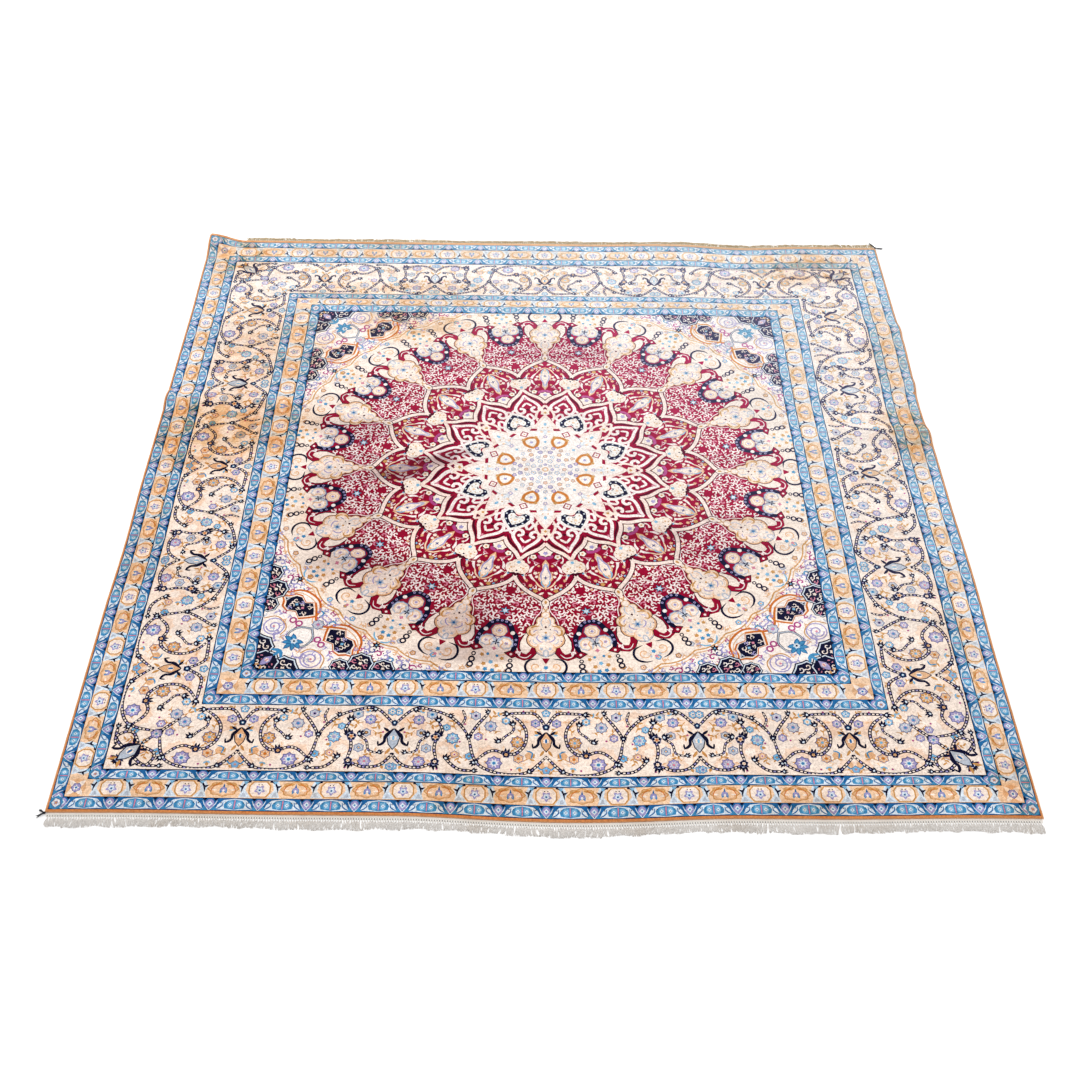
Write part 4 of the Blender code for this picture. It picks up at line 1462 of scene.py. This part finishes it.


# %% [markdown]
# Stains and painted shade. Brown stains lie mostly along the left side and in the far corners; the two on
# the near side of the left crease also stand for its painted shade. Grey patches are painted shade along
# the creases and a broad painted shadow over the near left of the medallion. Each is one soft spot with a
# wandering edge, so they are listed by place, in metres from the middle.

# %% Stains and painted shade
STAINS_AND_CREASE_SHADE = (  # brown stains; the first two, on the near side of the left crease, also stand for its painted shade: middle x, y, half size x, y, strength
    (-1.08, 0.18, 0.20, 0.17, 0.85),
    (-0.86, 0.24, 0.12, 0.10, 0.60),
    (-0.92, 0.62, 0.20, 0.22, 0.50),
    (-0.48, 0.76, 0.20, 0.09, 0.65),
    (-0.56, 0.94, 0.30, 0.07, 0.45),
    (-1.14, 1.16, 0.12, 0.12, 0.80),
    (-0.70, 1.22, 0.30, 0.05, 0.45),
    (0.96, 1.12, 0.18, 0.10, 0.60),
    (1.18, 0.22, 0.09, 0.14, 0.80),
    (1.17, 0.62, 0.07, 0.20, 0.45),
    (-1.19, -0.30, 0.06, 0.26, 0.40),
    (-0.18, -1.20, 0.13, 0.06, 0.45),
    (0.66, -1.22, 0.10, 0.04, 0.35),
    (1.21, -1.15, 0.07, 0.10, 0.55),
    (1.14, -0.60, 0.05, 0.12, 0.30),
)

PAINTED_SHADE_SPOTS = (  # painted shade, darker grey patches: middle x, y, half size x, y, strength
    (-0.46, 0.00, 0.09, 0.032, 0.85),
    (-0.37, 0.045, 0.09, 0.032, 0.85),
    (-0.29, 0.085, 0.06, 0.022, 0.60),
    (-0.30, -0.52, 0.26, 0.14, 0.26),
    (-0.60, -0.12, 0.13, 0.26, 0.26),
    (0.50, -0.30, 0.16, 0.16, 0.14),
    (-0.22, -0.62, 0.10, 0.08, 0.42),
    (-0.56, -0.40, 0.14, 0.07, 0.38),
    (-0.20, -0.72, 0.16, 0.03, 0.48),
    (0.32, -0.26, 0.10, 0.05, 0.30),
    (-0.62, 0.20, 0.16, 0.06, 0.35),
    (0.04, 0.62, 0.20, 0.06, 0.25),
)

# %% [markdown]
# The pile's finish, from the yarn's colour to the knots' small bumps. The far half gets a painted sheen:
# a gamma curve makes that half lighter and keeps its dark yarns dark, which a plain mix towards white
# wouldn't.

# %% Pile
PILE, tree, skin, place = new_material("silky_wool_pile", 0.78)
yarn_colour = tree.nodes.new("ShaderNodeVertexColor")
yarn_colour.layer_name = "yarn"
axes = tree.nodes.new("ShaderNodeSeparateXYZ")
tree.links.new(place, axes.inputs[0])
stretch = tree.nodes.new("ShaderNodeMapping")
stretch.inputs["Scale"].default_value = (1.0, 9.0, 1.0)
tree.links.new(place, stretch.inputs["Vector"])
grain = noise_node(tree, place, 620.0, 1.0)
tuft = noise_node(tree, place, 170.0, 2.0)
cloud = noise_node(tree, place, 5.0, 4.0, 0.6)
lots = noise_node(tree, stretch.outputs[0], 2.2, 2.0)
patch = noise_node(tree, place, 9.0, 5.0, 0.65)

colour = yarn_colour.outputs["Color"]
speck = level_node(tree, grain, 0.30, 0.70, 0.80, 1.16)
tone = times(tree, speck, level_node(tree, tuft, 0.30, 0.70, 0.84, 1.14))
tone = times(tree, tone, level_node(tree, lots, 0.35, 0.65, 0.92, 1.06))
toned = tree.nodes.new("ShaderNodeVectorMath")
toned.operation = "SCALE"
# painted sheen: the far right half is painted washed out and pale, the near left half slightly darker so
# it keeps its depth
across = math_node(tree, "ADD", times(tree, axes.outputs["Y"], 0.75),
    times(tree, axes.outputs["X"], 0.45))
sheen_gamma = node(tree, "ShaderNodeGamma")
tree.links.new(level_node(tree, across, -0.8, 1.25, 1.14, 0.60), sheen_gamma.inputs["Gamma"])
tree.links.new(colour, sheen_gamma.inputs["Color"])
tree.links.new(sheen_gamma.outputs[0], toned.inputs[0])
tree.links.new(tone, toned.inputs["Scale"])
# painted sheen: a little pale pinkish white mixed in towards the far right, in soft clouds
away = level_node(tree, across, -0.35, 1.2, 0.0, 0.06)
sheen_wash_amount = times(tree, away, level_node(tree, cloud, 0.25, 0.75, 0.72, 1.25))
sheen_washed = blend_node(tree, sheen_wash_amount, toned.outputs[0], (0.96, 0.92, 0.95, 1))
warm = level_node(tree, noise_node(tree, place, 13.0, 3.0, 0.6), 0.46, 0.72, 0.0, 0.55)
near_half = level_node(tree, across, -1.1, 0.7, 1.0, 0.15)
stained_and_shaded = blend_node(tree, times(tree, warm, near_half), sheen_washed, (0.95, 0.78, 0.62, 1), "MULTIPLY")
blotch = level_node(tree, noise_node(tree, place, 24.0, 3.0, 0.6), 0.42, 0.60, 0.50, 1.25)
# brown stains; the first two also paint the shade on the near side of the left crease
for x, y, wide, deep, strength in STAINS_AND_CREASE_SHADE:
    spot = spot_node(tree, place, (x, y), (wide, deep), math_node(tree, "SUBTRACT", patch, 0.5))
    stain_and_shade_mask = times(tree, times(tree, spot, strength), blotch)
    stained_and_shaded = blend_node(tree, stain_and_shade_mask, stained_and_shaded, (0.84, 0.61, 0.38, 1), "MULTIPLY")
# painted shade: each grey patch multiplies the pile by a dark grey, along the creases and over the near
# left
for x, y, wide, deep, strength in PAINTED_SHADE_SPOTS:
    spot = spot_node(tree, place, (x, y), (wide, deep), math_node(tree, "SUBTRACT", patch, 0.5))
    stained_and_shaded = blend_node(tree, times(tree, spot, strength), stained_and_shaded, (0.42, 0.34, 0.38, 1), "MULTIPLY")
tree.links.new(stained_and_shaded, skin.inputs["Base Color"])
rough = level_node(tree, cloud, 0.3, 0.7, 0.66, 0.88)
tree.links.new(rough, skin.inputs["Roughness"])
skin.inputs["Sheen Weight"].default_value = 0.03
skin.inputs["Sheen Roughness"].default_value = 0.45
skin.inputs["Sheen Tint"].default_value = (1.0, 0.98, 0.95, 1)
skin.inputs["Specular IOR Level"].default_value = 0.05
bump = node(tree, "ShaderNodeBump", Strength=0.55, Distance=0.0016)
knots = math_node(tree, "ADD", times(tree, tuft, 0.65), times(tree, grain, 0.35))
tree.links.new(knots, bump.inputs["Height"])
tree.links.new(bump.outputs[0], skin.inputs["Normal"])


# %% [markdown]
# Plain yarns for what is not pile: the cotton back, the wrapped sides, the webs, fringes and ties. Each
# is a fibre colour that varies along the piece, with a fine twist in its bump.

# %% Plain yarns
def yarn_material(name, light, dark, scale, dirt=(0.55, 0.42, 0.28, 1), dirty=0.3, squash=(1, 1, 1)):
    """A spun yarn between two shades, soiled in patches."""
    material, tree, skin, place = new_material(name, 0.85)
    spread = tree.nodes.new("ShaderNodeMapping")
    spread.inputs["Scale"].default_value = squash
    tree.links.new(place, spread.inputs["Vector"])
    fibre = noise_node(tree, spread.outputs[0], scale, 3.0, 0.6)
    soil = noise_node(tree, place, 7.0, 4.0, 0.6)
    shade = blend_node(tree, level_node(tree, fibre, 0.3, 0.7), dye(dark), dye(light))
    amount = level_node(tree, soil, 0.45, 0.75, 0.0, dirty)
    tree.links.new(blend_node(tree, amount, shade, dirt, "MULTIPLY"), skin.inputs["Base Color"])
    skin.inputs["Sheen Weight"].default_value = 0.2
    skin.inputs["Specular IOR Level"].default_value = 0.2
    bump = node(tree, "ShaderNodeBump", Strength=0.5, Distance=0.0008)
    tree.links.new(fibre, bump.inputs["Height"])
    tree.links.new(bump.outputs[0], skin.inputs["Normal"])
    return material


BACK = yarn_material("knotted_back", "E6AC7C", "D0925F", 320.0)
CORD = yarn_material("side_wrapping", "F0BC8C", "D39257", 420.0, dirty=0.35, squash=(1, 3, 1))
WEB = yarn_material("cotton_web", "FBF9F5", "E4DED4", 500.0, dirty=0.25)
FRINGE = yarn_material("cotton_fringe", "F6F2EE", "D0C9C2", 380.0, dirty=0.35)
FAR_YARN = yarn_material("far_fringe_yarn", "D9C6A0", "A98F62", 300.0, dirty=0.45)
BLACK = yarn_material("dark_yarn", "2C2E38", "0A0B10", 300.0, dirty=0.0)
print(len(bpy.data.materials), "materials")

# %% [markdown]
# Laying the cartoons on the carpet. The weaver's stripes are not all one width: they were beaten in
# tighter at the far end. This step moves each place from the true design to where it was knotted,
# then to where the carpet lies now.

# %% From the design to the carpet
BANDS = (OUTER_BLUE, OUTER_GOLD, SECOND_BLUE, MAIN_BAND, THIRD_BLUE, INNER_GOLD, LAST_BLUE)
STRIPES = (0.0, *(band[0] for band in BANDS), LAST_BLUE[1])
KNOTTED = {
    "near": (0.0, 0.007, 0.0445, 0.097, 0.127, 0.337, 0.372, 0.425, 0.458),
    "far": (0.0, 0.012, 0.047, 0.102, 0.137, 0.328, 0.357, 0.394, 0.434),
    "side": (0.0056, 0.0082, 0.040, 0.087, 0.1175, 0.335, 0.367, 0.421, 0.454),
}
MIDDLE_SHIFT = {"near": -0.012, "far": 0.012, "side": 0.0}


def carpet_inset(inset, edge):
    """A design inset from an edge as the inset on the carpet."""
    return np.interp(inset, STRIPES + (HALF,), KNOTTED[edge] + (HALF - MIDDLE_SHIFT[edge],))


def knotted(value, low_edge, high_edge):
    """A design measure from the middle as the measure on the carpet."""
    inset = HALF - np.abs(value)
    return np.where(value < 0, carpet_inset(inset, low_edge) - HALF,
        HALF - carpet_inset(inset, high_edge))


def on_carpet(design, height):
    """Places on the flat design, as places on the carpet's upper side."""
    x = knotted(design[:, 0], "side", "side")
    y = knotted(design[:, 1], "near", "far")
    x, y = lie(x, y)
    return in_part(x, y, lift(x, y) + height)


def facing_up(design, step=0.002):
    """Which way the pile faces at places on the design."""
    run_x = on_carpet(design + (step, 0), 0) - on_carpet(design - (step, 0), 0)
    run_y = on_carpet(design + (0, step), 0) - on_carpet(design - (0, step), 0)
    normal = np.cross(run_x, run_y)
    return normal / np.linalg.norm(normal, axis=1, keepdims=True)


def mesh_object(name, points, faces, weld=1e-6):
    """One object from arrays, with its seams closed."""
    mesh = bpy.data.meshes.new(name)
    mesh.from_pydata([tuple(p) for p in points], [], [tuple(f) for f in faces])
    obj = bpy.data.objects.new(name, mesh)
    bpy.context.scene.collection.objects.link(obj)
    if weld:
        bm = bmesh.new()
        bm.from_mesh(mesh)
        bmesh.ops.remove_doubles(bm, verts=bm.verts, dist=weld)
        bm.to_mesh(mesh)
        bm.free()
    return obj


# The eight octants of the square: which way each turns the cartoon.
TURNS = {
    "near": (((1, 0), (0, -1)), ((-1, 0), (0, -1))),
    "far": (((1, 0), (0, 1)), ((-1, 0), (0, 1))),
    "left": (((0, 1), (-1, 0)), ((0, -1), (-1, 0))),
    "right": (((0, 1), (1, 0)), ((0, -1), (1, 0))),
}


def lay_pile(name, made, sides, uv_of):
    """One piece of pile from copies of a cut cartoon. Its yarn is a colour on each triangle."""
    points, corners, yarn = made
    all_points = []
    all_faces = []
    all_yarn = []
    for side in sides:
        for along_axis, out_axis in TURNS[side]:
            turned = np.outer(points[:, 0], along_axis) + np.outer(points[:, 1], out_axis)
            base = sum(len(p) for p in all_points)
            facing = along_axis[0] * out_axis[1] - along_axis[1] * out_axis[0]
            faces = corners if facing > 0 else corners[:, ::-1]
            all_points.append(turned)
            all_faces.append(faces + base)
            all_yarn.append(yarn)
    design = np.round(np.vstack(all_points), 7)
    faces = np.vstack(all_faces)
    yarn = np.concatenate(all_yarn)
    design, index = np.unique(design, axis=0, return_inverse=True)
    faces = index.reshape(-1)[faces]
    used, faces = np.unique(faces, return_inverse=True)
    faces = faces.reshape(-1, 3)
    design = design[used]
    placed = on_carpet(design, CARPET_THICK)
    mesh = bpy.data.meshes.new(name)
    mesh.from_pydata(placed.tolist(), [], faces.tolist())
    colour = mesh.color_attributes.new("yarn", "FLOAT_COLOR", "CORNER")
    colour.data.foreach_set("color", np.repeat(DYE_LIGHT[yarn], 3, axis=0).ravel())
    flat = mesh.uv_layers.new(name="OFBake")
    flat.uv.foreach_set("vector", uv_of(design)[faces.ravel()].ravel())
    mesh.shade_smooth()
    mesh.normals_split_custom_set_from_vertices(facing_up(design).tolist())
    obj = bpy.data.objects.new(name, mesh)
    bpy.context.scene.collection.objects.link(obj)
    obj.data.materials.append(PILE)
    print(name, len(faces), "triangles")
    return obj


# %% [markdown]
# The woven back. Under the pile the carpet is one firm slab of knots and wefts, which shows as an
# apricot-brown edge all round. Two equal grids with a wall between their rims keep it closed however
# the carpet bends. It reaches to just beneath the pile's upper side.

# %% Woven back
def grid_faces(rows, columns, base=0):
    """Quads over a grid of points stored row by row."""
    faces = []
    for i in range(rows - 1):
        for j in range(columns - 1):
            a = base + i * columns + j
            faces.append((a, a + 1, a + columns + 1, a + columns))
    return faces


SLAB_STEPS = OUTLINE_STEPS
UNDER_GAP = 0.0003
PILE_COVER = 0.0026
line = np.linspace(-1, 1, SLAB_STEPS)
grid_y, grid_x = np.meshgrid(line, line, indexing="ij")
slab_x, slab_y = lie(grid_x.ravel() * PILE_HALF_X, grid_y.ravel() * PILE_HALF_Y)
slab_z = lift(slab_x, slab_y)
slab_under = in_part(slab_x, slab_y, slab_z + UNDER_GAP)
at_rim = (np.maximum(np.abs(grid_x), np.abs(grid_y)) > 0.999).ravel()
slab_top = slab_z + CARPET_THICK - np.where(at_rim, UNDER_GAP, PILE_COVER)
slab_over = in_part(slab_x, slab_y, slab_top)
slab_points = np.vstack((slab_under, slab_over))
slab_faces = [tuple(reversed(f)) for f in grid_faces(SLAB_STEPS, SLAB_STEPS)]
slab_faces += grid_faces(SLAB_STEPS, SLAB_STEPS, SLAB_STEPS**2)
rim = list(range(SLAB_STEPS))
rim += [i * SLAB_STEPS + SLAB_STEPS - 1 for i in range(1, SLAB_STEPS)]
rim += [(SLAB_STEPS - 1) * SLAB_STEPS + i for i in range(SLAB_STEPS - 2, -1, -1)]
rim += [i * SLAB_STEPS for i in range(SLAB_STEPS - 2, 0, -1)]
for a, b in zip(rim, rim[1:] + rim[:1]):
    slab_faces.append((a, b, b + SLAB_STEPS**2, a + SLAB_STEPS**2))
back = mesh_object("woven_back", slab_points, slab_faces)
back.data.materials.append(BACK)
back.data.shade_smooth()
print("woven back:", len(back.data.polygons), "faces")

# %% [markdown]
# The pile itself, in four quarters that meet on the diagonals, each with its field and its border. One
# mesh would hold too many triangles, so it is eight, and each has its own flat map for its texture.

# %% Pile pieces
def field_uv(design):
    """The middle piece's place on its own texture."""
    return design / (2 * (HALF - MAIN_BAND[1])) * 0.98 + 0.5


def border_uv(side):
    """A border side's place on its own texture, with its length along it."""

    def uv(design):
        length, out = design.T if side in ("near", "far") else design.T[::-1]
        across = (np.abs(out) - (HALF - MAIN_BAND[1])) / MAIN_BAND[1]
        return np.column_stack((length / (2 * HALF) * 0.98 + 0.5, across * 0.98 + 0.01))

    return uv


pile_pieces = []
for side in ("near", "far", "left", "right"):
    pile_pieces.append(lay_pile(f"pile_field_{side}", field_cut, (side,), field_uv))
    pile_pieces.append(lay_pile(f"pile_border_{side}", border_cut, (side,), border_uv(side)))


# %% [markdown]
# Strands. Every yarn outside the pile is a thin tube swept along a line: the wraps of the side cords,
# the knots and tassels of the fringes, and the wisps of the corner ties. All strands of one piece are
# joined as one mesh built from arrays.

# %% Sweeping strands
def tubes(paths, radii, sides=5):
    """Closed thin tubes along many paths with the same number of points: (points, faces)."""
    paths = np.asarray(paths, float)
    many, steps, _ = paths.shape
    radii = np.broadcast_to(np.asarray(radii, float), (many, steps))
    run = np.gradient(paths, axis=1)
    run = run / np.maximum(np.linalg.norm(run, axis=2, keepdims=True), 1e-9)
    helper = np.where(np.abs(run[:, :, 2:3]) > 0.9, (1.0, 0.0, 0.0), (0.0, 0.0, 1.0))
    side = np.cross(run, helper)
    side = side / np.linalg.norm(side, axis=2, keepdims=True)
    top = np.cross(side, run)
    points = []
    for k in range(sides):
        a = 2 * math.pi * k / sides
        points.append(paths + (side * math.cos(a) + top * math.sin(a)) * radii[:, :, None])
    points = np.stack(points, axis=2).reshape(-1, 3)
    faces = []
    for m in range(many):
        base = m * steps * sides
        for i in range(steps - 1):
            for k in range(sides):
                a = base + i * sides + k
                b = base + i * sides + (k + 1) % sides
                faces.append((a, a + sides, b + sides, b))
        faces.append(tuple(base + k for k in range(sides)))
        faces.append(tuple(base + (steps - 1) * sides + k for k in reversed(range(sides))))
    return points, faces


def strands(name, groups, material):
    """One object from several groups of tubes."""
    points = []
    faces = []
    for paths, radii, sides in groups:
        p, f = tubes(paths, radii, sides)
        base = sum(len(q) for q in points)
        points.append(p)
        faces += [tuple(i + base for i in face) for face in f]
    obj = mesh_object(name, np.vstack(points), faces, weld=0)
    obj.data.shade_smooth()
    obj.data.materials.append(material)
    print(name, len(faces), "faces")
    return obj


# %% [markdown]
# The side cords: a bundle of warps along each side, wrapped with orange-tan wool. A curve with a bevel
# would look like a smooth hose. A swept tube with an uneven radius has the fine ribbing of the wrap,
# and it follows every wave of the edge.

# %% Side cords
def side_cord(name, sign):
    """A wrapped cord that follows one side."""
    steps = 800
    y_true = np.linspace(-PILE_HALF_Y, PILE_HALF_Y, steps)
    x, y = lie(np.full(steps, sign * PILE_HALF_X), y_true)
    x = x + sign * (PIECE_GAP + SIDE_CORD / 2)
    rough = 0.00018 * np.sin(np.arange(steps) * 2.1) + 0.00016 * np.sin(np.arange(steps) * 0.37)
    radius = SIDE_CORD / 2 - 0.0004 + rough
    z = lift(x, y) + SIDE_CORD / 2
    path = in_part(x, y, z)
    ends = np.ones(steps)
    ends[0] = ends[-1] = 0.55
    return strands(name, [([path], [radius * ends], 8)], CORD)


cords = [side_cord("wrapped_side_left", -1), side_cord("wrapped_side_right", 1)]
print("side cords:", [len(o.data.polygons) for o in cords])

# %% [markdown]
# The end webs: a narrow strip of plain weave that closes each end of the pile, white cotton with a row
# of dark stitches at the near end. Each is one closed band that follows the wavy end, because a
# straight strip would part from the pile.

# %% End webs
OUTWARD = {"near": -1, "far": 1}


def end_line(end, beyond, along_x, height):
    """Places beyond an end of the pile, on the floor side of the carpet."""
    x, y = lie(along_x, np.full_like(along_x, OUTWARD[end] * PILE_HALF_Y))
    return in_part(x, y + OUTWARD[end] * beyond, lift(x, y) + height)


def end_start(end):
    """Where an end's web starts; the far one stops short of the curled corner."""
    return -PILE_HALF_X + (CURL_RADIUS if end == "far" else 0.0)


def end_web(name, end, material):
    """The woven strip at one end, slightly uneven, as a closed band."""
    steps = 241
    x = np.linspace(end_start(end), PILE_HALF_X, steps)
    ripple = 0.0004 * np.sin(np.arange(steps) * 1.3)
    rows = []
    for beyond, height in ((PIECE_GAP, 0.0002), (PIECE_GAP + WEB_DEPTH, 0.0002),
        (PIECE_GAP + WEB_DEPTH, WEB_THICK * 0.8), (PIECE_GAP + WEB_DEPTH * 0.5, WEB_THICK),
        (PIECE_GAP, WEB_THICK)):
        row = end_line(end, beyond, x, height)
        if height > 0.001:
            row[:, 2] += ripple * 0.5
        rows.append(row)
    points = np.vstack(rows)
    faces = []
    count = len(rows)
    for r in range(count):
        for i in range(steps - 1):
            a = r * steps + i
            b = (r + 1) % count * steps + i
            faces.append((a, a + 1, b + 1, b))
    faces.append(tuple(r * steps for r in range(count)))
    faces.append(tuple(r * steps + steps - 1 for r in reversed(range(count))))
    obj = mesh_object(name, points, faces)
    bm = bmesh.new()
    bm.from_mesh(obj.data)
    bmesh.ops.recalc_face_normals(bm, faces=bm.faces)
    bm.to_mesh(obj.data)
    bm.free()
    obj.data.materials.append(material)
    return obj


webs = [end_web("near_web", "near", WEB), end_web("far_web", "far", FAR_YARN)]
stitch_x = np.arange(-PILE_HALF_X + 0.004, PILE_HALF_X - 0.004, 0.0065)
stitch_height = WEB_THICK + 0.0002
stitch = [end_line("near", PIECE_GAP + past, stitch_x,
    stitch_height) for past in (0.0072, 0.0090, 0.0106)]
stitches = strands("near_web_stitches", [(np.stack(stitch, axis=1), 0.0008, 4)], BLACK)
print("stitches:", len(stitch_x))

# %% [markdown]
# The fringes. At the near end groups of cotton warps are knotted at the web and hang loose to an
# uneven length. At the far end they are short and matted together. Hair particles would leave no real
# mesh, so each yarn is a thin tube, and a seeded generator gives it its own lean, drift and length.

# %% Fringes
rng = np.random.default_rng(7)


def fringe(name, end, shortest, longest, pitch, material, matted):
    """Knots and loose yarns along one end."""
    root = PIECE_GAP + WEB_DEPTH
    x = np.arange(end_start(end) + pitch, PILE_HALF_X - pitch / 2, pitch)
    i = x / 0.030
    wave = 0.5 + 0.3 * np.sin(0.31 * i + 1.0) + 0.2 * np.sin(1.9 * i)
    uneven = np.clip(wave + rng.normal(0, 0.16, len(x)), 0, 1)
    reach = FRINGE_ROOT + shortest + (longest - shortest) * uneven
    bumps = ((-0.001, 0.0016), (0.0015, 0.0022), (0.004, 0.0020))  # past the web, height
    knot = np.stack([end_line(end, root + past, x, height) for past, height in bumps], axis=1)
    groups = [(knot, [[0.0007, 0.0013, 0.0008]], 5)]
    for _ in range(matted):
        lean = rng.normal(0, pitch * 0.60, len(x)) + 0.8 * pitch * np.sin(0.9 * i + 2.0)
        drift = rng.normal(0, pitch * 0.65, len(x))
        line = []
        for t in (0.0, 0.4, 0.75, 1.0):
            swing = lean * t + drift * math.sin(3 * t)
            height = 0.0018 - 0.0006 * t + np.abs(rng.normal(0, 0.0003, len(x)))
            far_x = np.clip(x + swing, end_start(end) + 0.001, PILE_HALF_X - 0.001)
            place = end_line(end, 0.0, far_x, 0.0)
            place[:, 1] += OUTWARD[end] * (root + 0.003 + (reach - 0.003) * t)
            place[:, 2] += height
            line.append(place)
        groups.append((np.stack(line, axis=1), [[0.0012, 0.0014, 0.0011, 0.0004]], 3))
    return strands(name, groups, material)


near_strands = fringe("near_fringe_yarns", "near", 0.019, 0.029, 0.0065, FRINGE, 6)
far_strands = fringe("far_fringe_yarns", "far", 0.008, 0.017, 0.0070, FAR_YARN, 4)

# %% [markdown]
# Two tufts of dark yarn are tied on at opposite corners. The knot is one yarn wound two and a half
# turns, and the wisps spread from it towards its two ends.

# %% Corner ties
def corner_tie(name, x_sign, y_sign, ends):
    """A knot at a corner and wisps towards its two ends."""
    x, y = lie(np.array([x_sign * PILE_HALF_X]), np.array([y_sign * PILE_HALF_Y]))
    knot = np.array((x[0] + x_sign * (PIECE_GAP + SIDE_CORD * 0.7) + MIDDLE_X,
        y[0] + y_sign * 0.003 + MIDDLE_Y, 0.004))
    groups = []
    for dx, dy in ends:
        lines = []
        for _ in range(9):
            spread = rng.normal(0, 0.0022, 3) * (1, 1, 0.3)
            t = np.linspace(0, 1, 6)[:, None]
            bow = np.sin(3 * t) * rng.normal(0, 0.0012, 3) * (1, 1, 0.2)
            line = knot + t * (dx, dy, 0) + t**1.5 * spread + bow
            line[:, 2] = np.maximum(0.0012, 0.0045 * (1 - t[:, 0]) + 0.0014 + np.abs(spread[2]) * 0.3)
            lines.append(line)
        groups.append((lines, [[0.0013, 0.0013, 0.0012, 0.0010, 0.0007, 0.0003]], 5))
    turns = np.linspace(0, 2 * math.pi * 2.5, 24)
    wrap = knot + np.column_stack((0.0026 * np.cos(turns), 0.0022 * np.sin(turns), 0.0002 * turns))
    groups.append(([wrap], [[0.0011] * 24], 6))
    return strands(name, groups, BLACK)


tie_near = corner_tie("dark_tie_near_left", -1, -1, ((-0.015, 0.011), (-0.017, -0.008)))
tie_far = corner_tie("dark_tie_far_right", 1, 1, ((-0.014, 0.036), (0.027, 0.004)))

# %% [markdown]
# Everything rides on the one body and stands for its CAD node.

# %% Joining the frame
STANDS_FOR = (
    (back, "knotted_carpet", "pile"),
    (cords[0], "side_cord_left", "side_cord"),
    (cords[1], "side_cord_right", "side_cord"),
    (webs[0], "near_end_web", "cotton_web"),
    (webs[1], "far_end_web", "far_fringe_yarn"),
    (near_strands, "near_fringe", "cotton_fringe"),
    (far_strands, "far_fringe", "far_fringe_yarn"),
    (tie_near, "corner_tie_near_left", "dark_yarn"),
    (tie_far, "corner_tie_far_right", "dark_yarn"),
    (stitches, None, "dark_yarn"),
)
for piece, cad_node, slot_name in STANDS_FOR:
    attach(piece, "root")
    if cad_node:
        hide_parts(cad_node)
for piece in pile_pieces:
    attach(piece, "root")
    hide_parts("knotted_carpet")
